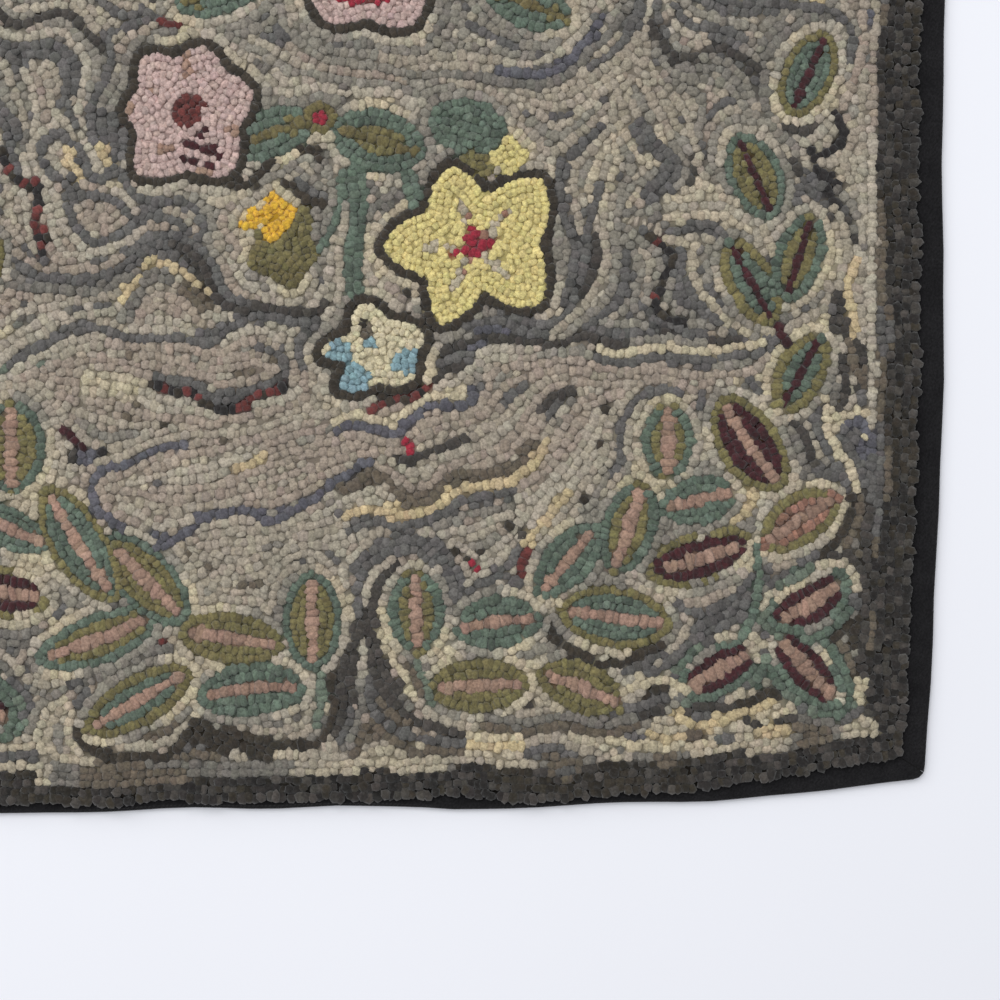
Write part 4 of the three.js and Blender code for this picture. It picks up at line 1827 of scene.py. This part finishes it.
@dataclass
class Outline:
    """A closed outline on the rug, in millimetres."""

    points: np.ndarray

    @classmethod
    def of_nodes(cls, names: tuple[str, ...], height: float, apart: float = 0.35) -> "Outline":
        """Takes the ring of the nodes' vertices at a height from the frame.

        Args:
            names: the frame's nodes.
            height: the ring's height in millimetres.
            apart: how far apart its points are at least.

        Returns:
            The outline, counter-clockwise.
        """
        found = [v.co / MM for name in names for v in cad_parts[name].data.vertices]
        ring = np.array([[p.x, p.y] for p in found if abs(p.z - height) < 0.06])
        ring = ring[np.argsort(np.arctan2(ring[:, 1], ring[:, 0]))]
        return cls(ring[np.linalg.norm(ring - np.roll(ring, 1, axis=0), axis=1) > apart])

    def corner(self, signs: tuple[int, int]) -> int:
        """The number of the point nearest a corner, given by the signs of its X and Y."""
        size = np.abs(self.points).max(axis=0)
        return int(np.argmax((self.points / size) @ np.array(signs)))

    def side(self, side: Side, count: int, short: float = 0.0) -> np.ndarray:
        """One side of the outline, from corner to corner.

        Args:
            side: which side.
            count: how many points are wanted.
            short: how far it stays from both corners.

        Returns:
            Evenly spaced points.
        """
        first, last = (self.corner(signs) for signs in side.value)
        numbers = np.arange(first, last + 1 + (len(self.points) if last < first else 0)) % len(self.points)
        run = self.points[numbers]
        along = np.concatenate([[0.0], np.cumsum(np.linalg.norm(np.diff(run, axis=0), axis=1))])
        at = np.linspace(short, along[-1] - short, count)
        return np.stack([np.interp(at, along, run[:, k]) for k in range(2)], axis=1)

    def inset(self, spacing: float) -> Callable[[np.ndarray], float]:
        """Prepares to measure how far points are from the outline.

        Args:
            spacing: the spacing of the places that are measured to.

        Returns:
            A function that gives a point's distance in millimetres.
        """
        edge = spread_along(self.points, spacing, closed=True)
        return lambda point: math.sqrt(((edge - point) ** 2).sum(axis=1).min())

    def inside(self, x: float, y: float) -> bool:
        """Whether a point lies inside the outline.

        Args:
            x: across the rug.
            y: along the rug.

        Returns:
            True if it does.
        """
        a, b = self.points, np.roll(self.points, -1, axis=0)
        spans = (a[:, 1] > y) != (b[:, 1] > y)
        a, b = a[spans], b[spans]
        crossings = a[:, 0] + (y - a[:, 1]) * (b[:, 0] - a[:, 0]) / (b[:, 1] - a[:, 1])
        return bool(np.count_nonzero(x < crossings) % 2)


def share_of(value: float, start: float, length: float) -> float:
    """How far a value is on a slope.

    Args:
        value: the value.
        start: where the slope starts.
        length: how long it is.

    Returns:
        A number from 0 to 1.
    """
    return min(max((value - start) / length, 0.0), 1.0)


def new_mesh(name: str, bm: bmesh.types.BMesh) -> bpy.types.Mesh:
    """Turns a finished bmesh into a mesh, its faces outward.

    Args:
        name: the mesh's name.
        bm: the bmesh, which is freed.

    Returns:
        The mesh.
    """
    bmesh.ops.recalc_face_normals(bm, faces=bm.faces[:])
    mesh = bpy.data.meshes.new(name)
    bm.to_mesh(mesh)
    bm.free()
    return mesh


def new_object(name: str, mesh: bpy.types.Mesh, material: bpy.types.Material) -> bpy.types.Object:
    """Puts a mesh in the scene.

    Args:
        name: the object's name.
        mesh: its mesh.
        material: its material.

    Returns:
        The object.
    """
    mesh.materials.append(material)
    piece = bpy.data.objects.new(name, mesh)
    bpy.context.collection.objects.link(piece)
    return piece


@dataclass
class Tape:
    """One length of binding tape, folded round the rug's edge and mitred at both ends."""

    side: Side
    outer: Outline
    shown: Outline
    hidden: Outline
    thickness: float = 1.0
    fold: float = 2.1
    tuck: float = 1.3
    gap: float = 0.15
    spacing: float = 3.4
    puff: float = 0.45
    puff_differs: float = 0.35
    ripple: float = 0.25

    def section(self) -> list[tuple[float, float, float]]:
        """The tape's outer face in section, from the pile round the fold to its hidden edge.

        Returns:
            For each point, its share of the way to the pile or, below, to the hidden edge; its distance
            in from the fold where that counts instead; and its height.
        """
        top = [(share, 0.0, 2 * self.fold) for share in (1.0, 0.8, 0.6, 0.42, 0.26)]
        bend = []
        for degrees in range(90, 271, 30):
            angle = math.radians(degrees)
            bend.append((0.0, self.fold * (1 + math.cos(angle)), self.fold * (1 + math.sin(angle))))
        return top + bend + [(-share, 0.0, 0.0) for share in (0.3, 0.65, 1.0)]

    def build(self) -> bpy.types.Mesh:
        """Folds the tape along its side of the rug.

        Returns:
            Its closed mesh.
        """
        length = np.linalg.norm(np.diff(self.outer.side(self.side, 60), axis=0), axis=1).sum()
        count = int(length / self.spacing)
        edge = self.outer.side(self.side, count, self.gap)
        over = self.shown.side(self.side, count, self.gap)
        under = self.hidden.side(self.side, count, self.gap)
        over = over + (over - edge) / np.linalg.norm(over - edge, axis=1, keepdims=True) * self.tuck
        bm = bmesh.new()
        rings = [self.ring(bm, *guides) for guides in zip(edge.tolist(), over.tolist(), under.tolist())]
        sides = len(rings[0])
        for a, b in zip(rings, rings[1:]):
            for k in range(sides):
                bm.faces.new((a[k], a[(k + 1) % sides], b[(k + 1) % sides], b[k]))
        for ring in (rings[0], rings[-1]):
            for k in range(sides // 2 - 1):
                bm.faces.new((ring[k], ring[k + 1], ring[sides - 2 - k], ring[sides - 1 - k]))
        mesh = new_mesh(f"tape_{self.side.name.lower()}", bm)
        mesh.shade_smooth()
        return mesh

    def ring(self, bm: bmesh.types.BMesh, edge: Point, over: Point, under: Point) -> list:
        """The section's points at one place along the tape.

        Args:
            bm: the mesh being made.
            edge: the place of the rug's edge.
            over: where the upper face ends.
            under: where the lower face ends.

        Returns:
            The outer face's points, then the inner face's points backwards.
        """
        outer, inner = [], []
        puff = self.puff_differs * (DRIFT.at(6 * edge[0], 6 * edge[1]) - 0.5)
        for share, inward, z in self.section():
            goal = np.array(under if share < 0 else over) - edge
            reach = float(np.linalg.norm(goal))
            away = abs(share) * reach if share else inward
            place = np.array(edge) + goal / reach * away
            if share > 0:
                z += (self.puff + puff) * math.sin(math.pi * min(share, 0.95))
                z += self.ripple * (FLECKS.at(7 * place[0], 7 * place[1]) - 0.5)
            outer.append(bm.verts.new((place[0] * MM, place[1] * MM, z * MM)))
            if share:
                back, level = away, z - self.thickness if share > 0 else z + self.thickness
            else:
                ease = (self.fold - self.thickness) / self.fold
                back = self.fold + (inward - self.fold) * ease
                level = self.fold + (z - self.fold) * ease
            place = np.array(edge) + goal / reach * back
            inner.append(bm.verts.new((place[0] * MM, place[1] * MM, level * MM)))
        return outer + inner[::-1]


@dataclass
class Foundation:
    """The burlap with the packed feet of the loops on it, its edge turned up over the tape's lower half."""

    outline: Outline
    wall: Outline
    across: int = 112
    along: int = 168
    top: float = 2.95
    packed: float = 7.25
    shoulder_start: float = 1.2
    shoulder: float = 2.6
    raised: float = 1.3
    flap: float = 33.0
    flap_slope: float = 4.0
    # Painted shade: the raised top is the packed feet of the loops, seen only in the gaps between them, and
    # takes the loops' colour darkened by this share. The underside takes it darkened by the next share.
    top_painted_shade: float = 0.6
    lower_shade: float = 0.85

    def patch(self, u: float, v: float, near: np.ndarray, right: np.ndarray, far: np.ndarray,
              left: np.ndarray) -> np.ndarray:
        """A point of the surface spanned by the four sides.

        Args:
            u: the share of the way from the left side to the right one.
            v: the share of the way from the near side to the far one.
            near: the near side's points, from left to right.
            right: the right side's points, from near to far.
            far: the far side's points, from left to right.
            left: the left side's points, from near to far.

        Returns:
            The point in millimetres.
        """
        i, j = round(u * self.across), round(v * self.along)
        ruled = (1 - v) * near[i] + v * far[i] + (1 - u) * left[j] + u * right[j]
        a, b, c, d = near[0], near[-1], far[-1], far[0]
        return ruled - ((1 - u) * (1 - v) * a + u * (1 - v) * b + u * v * c + (1 - u) * v * d)

    def build(self, loops: Loops) -> bpy.types.Mesh:
        """The burlap's closed mesh, coloured by the loops above, its raised top darkened as painted shade.

        Args:
            loops: the loops hooked through it.

        Returns:
            The mesh.
        """
        near, right = (self.outline.side(side, count + 1)
                       for side, count in ((Side.NEAR, self.across), (Side.RIGHT, self.along)))
        far, left = (self.outline.side(side, count + 1)[::-1]
                     for side, count in ((Side.FAR, self.across), (Side.LEFT, self.along)))
        bm = bmesh.new()
        bmesh.ops.create_grid(bm, x_segments=self.across, y_segments=self.along, size=1.0)
        inset = self.outline.inset(4.0)
        for vert in bm.verts:
            place = self.patch((vert.co.x + 1) / 2, (vert.co.y + 1) / 2, near, right, far, left)
            level = self.raised * share_of(self.flap + self.flap_slope - inset(place), 0.0, self.flap_slope)
            vert.co = (place[0] * MM, place[1] * MM, level * MM)
        raised = bmesh.ops.extrude_face_region(bm, geom=bm.faces[:], use_keep_orig=True)["geom"]
        inset = self.wall.inset(3.0)
        for item in raised:
            if isinstance(item, bmesh.types.BMVert):
                place = np.array([item.co.x, item.co.y]) / MM
                is_inside = self.wall.inside(*place)
                share = share_of(inset(place), self.shoulder_start, self.shoulder) if is_inside else 0.0
                item.co.z = (self.top + (self.packed - self.top) * share) * MM
        mesh = new_mesh("foundation", bm)
        tree = loops.tree()
        colour = np.ones((len(mesh.vertices), 4))
        for vert in mesh.vertices:
            number = tree.find((vert.co.x / MM, vert.co.y / MM, 0.0))[1]
            # The top is darkened as painted shade in the gaps between the loops; the underside is darkened by
            # its own share.
            shade = self.top_painted_shade if vert.co.z > 2 * MM else self.lower_shade
            colour[vert.index, :3] = loops.colour[number] * shade
        dye(mesh, colour)
        return mesh


@dataclass
class Rug:
    """The whole rug: the pile, the tape round its edge and the burlap under it."""

    tapes: tuple[str, ...] = ("binding_near", "binding_right", "binding_far", "binding_left")
    field_node: str = "hooked_field"
    wall_height: float = 4.3
    edge_height: float = 1.4
    tape_under: float = 30.0
    burlap_inset: float = 2.0
    outer: Outline = field(init=False)
    wall: Outline = field(init=False)
    pieces: list[bpy.types.Object] = field(default_factory=list)

    def __post_init__(self) -> None:
        """Takes the outlines of the tape and of the pile from the frame."""
        self.outer = Outline.of_nodes(self.tapes, self.edge_height)
        self.wall = Outline.of_nodes((self.field_node,), self.wall_height)

    def hook(self) -> Loops:
        """Hooks the whole design, then the ground between.

        Returns:
            All the loops.
        """
        canvas = Canvas(self.wall.points)
        width = HOOKING.border_width
        for number, level in enumerate(HOOKING.border_worn):
            path = moved_in(self.wall.points, (number + HOOKING.border_start) * width)
            canvas.hook(Row(path, WornEdge(level), Group.BORDER, width, HOOKING.border_pitch, True))
        canvas.close_edge()
        blooms = [*BLOOMS, ROSE, *(bloom.opposite() for bloom in BLOOMS)]
        leaves, stems, lines = ([*half, *(shape.opposite() for shape in half)]
                                for half in (LEAVES, STEMS, GROUND_LINES))
        for shape in (*blooms, *leaves, *stems, *lines):
            for row in shape.rows():
                canvas.hook(row)
        for shape in (*blooms, *leaves):
            for row in shape.halo():
                canvas.hook(row)
        LOG.info("design: %d rows", len(canvas.rows))
        half_size = tuple(np.abs(self.wall.points).max(axis=0))
        ground = Ground(canvas, Flow(canvas.rows, half_size))
        first = len(canvas.rows)
        ground.fill()
        ground.cut_lengths(first)
        ground.plug(self.wall.inside, half_size)
        LOG.info("with the ground: %d rows", len(canvas.rows))
        loops = Loops.from_rows(canvas.rows, np.random.default_rng(SEED + 2))
        loops.dye_inside([*blooms, *leaves], np.random.default_rng(SEED + 4))
        loops.settle()
        LOG.info("loops: %d", len(loops.group))
        return loops

    def pile(self, loops: Loops) -> None:
        """Makes the pile's pieces.

        Args:
            loops: every loop.
        """
        wool = WoolFinish().make()
        rng = np.random.default_rng(SEED + 3)
        parts: dict[str, list[int]] = {}
        for number, (group, (x, y)) in enumerate(zip(loops.group, loops.place.tolist())):
            name = group.value
            if group is not Group.BORDER:
                name += "_far" if y > 0 else "_near"
            if group is Group.GROUND:
                name += "_left" if x < 0 else "_right"
            parts.setdefault(name, []).append(number)
        for name, numbers in sorted(parts.items()):
            piece = new_object(name, loops.mesh(name, np.array(numbers), rng), wool)
            self.attach(piece, self.field_node)
            LOG.info("%s: %d loops, %d triangles", name, len(numbers), LOOP_TRIANGLES * len(numbers))

    def attach(self, piece: bpy.types.Object, node: str) -> None:
        """Gives a piece its body, and hides the frame's node that it stands for.

        Args:
            piece: the piece.
            node: the node.
        """
        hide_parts(node)
        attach(piece, "root")
        self.pieces.append(piece)

    def bind(self) -> None:
        """Folds the tape round the edge."""
        hidden = Outline(moved_in(self.outer.points, self.tape_under))
        finish = TapeFinish().make()
        for side in Side:
            mesh = Tape(side, self.outer, self.wall, hidden).build()
            tape = new_object(f"tape_{side.name.lower()}", mesh, finish)
            self.attach(tape, f"binding_{side.name.lower()}")
            LOG.info("%s: %d points", tape.name, len(tape.data.vertices))

    def build(self) -> None:
        loops = self.hook()
        self.pile(loops)
        self.bind()
        burlap = Foundation(Outline(moved_in(self.outer.points, self.burlap_inset)), self.wall)
        foundation = new_object("foundation", burlap.build(loops), BurlapFinish().make())
        riders = list(self.pieces)
        self.attach(foundation, self.field_node)
        LOG.info("%s: %d points", foundation.name, len(foundation.data.vertices))


@dataclass(frozen=True)
class Studio:
    """The camera straight above the rug, the soft lights and the floor, in metres and watts.

    A light is its name, its place, its size and its power.
    """

    view_x: float = 0.0702
    view_y: float = -0.291
    view_width: float = 0.530
    lens: float = 85.0
    sensor: float = 36.0
    level: float = 0.0032
    lights: tuple = (
        ("overhead", (-0.25, 0.35, 1.9), 1.6, 22.0),
        ("window", (-1.6, 1.0, 1.5), 1.2, 13.0),
    )
    room_colour: tuple = (0.96, 0.975, 1.0, 1.0)
    room_strength: float = 0.55
    floor_size: float = 4.0
    floor_drop: float = 0.0002

    def camera(self) -> None:
        """Sets the camera, looking straight down on the near right part of the rug."""
        data = bpy.data.cameras.new("camera")
        data.lens = self.lens
        data.sensor_width = self.sensor
        camera = bpy.data.objects.new("camera", data)
        height = self.view_width * self.lens / self.sensor + self.level
        camera.location = (self.view_x, self.view_y, height)
        bpy.context.collection.objects.link(camera)
        bpy.context.scene.camera = camera

    def light(self) -> None:
        """Sets a wide soft light above, a weaker one at the far left, and the room's own light."""
        for name, place, size, power in self.lights:
            data = bpy.data.lights.new(name, "AREA")
            data.size = size
            data.energy = power
            lamp = bpy.data.objects.new(name, data)
            lamp.location = place
            aim = Vector((self.view_x, self.view_y, 0.0)) - Vector(place)
            lamp.rotation_euler = aim.to_track_quat("-Z", "Y").to_euler()
            bpy.context.collection.objects.link(lamp)
        world = bpy.data.worlds.new("room")
        world.use_nodes = True
        room = world.node_tree.nodes["Background"]
        room.inputs["Color"].default_value = self.room_colour
        room.inputs["Strength"].default_value = self.room_strength
        bpy.context.scene.world = world
        bpy.context.scene.view_settings.view_transform = "Standard"

    def floor(self) -> None:
        """Lays the floor, just under the rug."""
        bm = bmesh.new()
        bmesh.ops.create_grid(bm, x_segments=8, y_segments=8, size=self.floor_size)
        bmesh.ops.translate(bm, verts=bm.verts[:], vec=(0.0, 0.0, -self.floor_drop))
        mesh = bpy.data.meshes.new("floor")
        bm.to_mesh(mesh)
        bm.free()
        new_object("floor", mesh, FloorFinish().make())


def main() -> None:
    """Builds the scene in order."""
    logging.basicConfig(level=logging.INFO, format="%(name)s %(message)s")
    studio = Studio()
    studio.camera()
    studio.light()
    studio.floor()
    Rug().build()
    LOG.info("built")


if __name__ == "__main__":
    main()
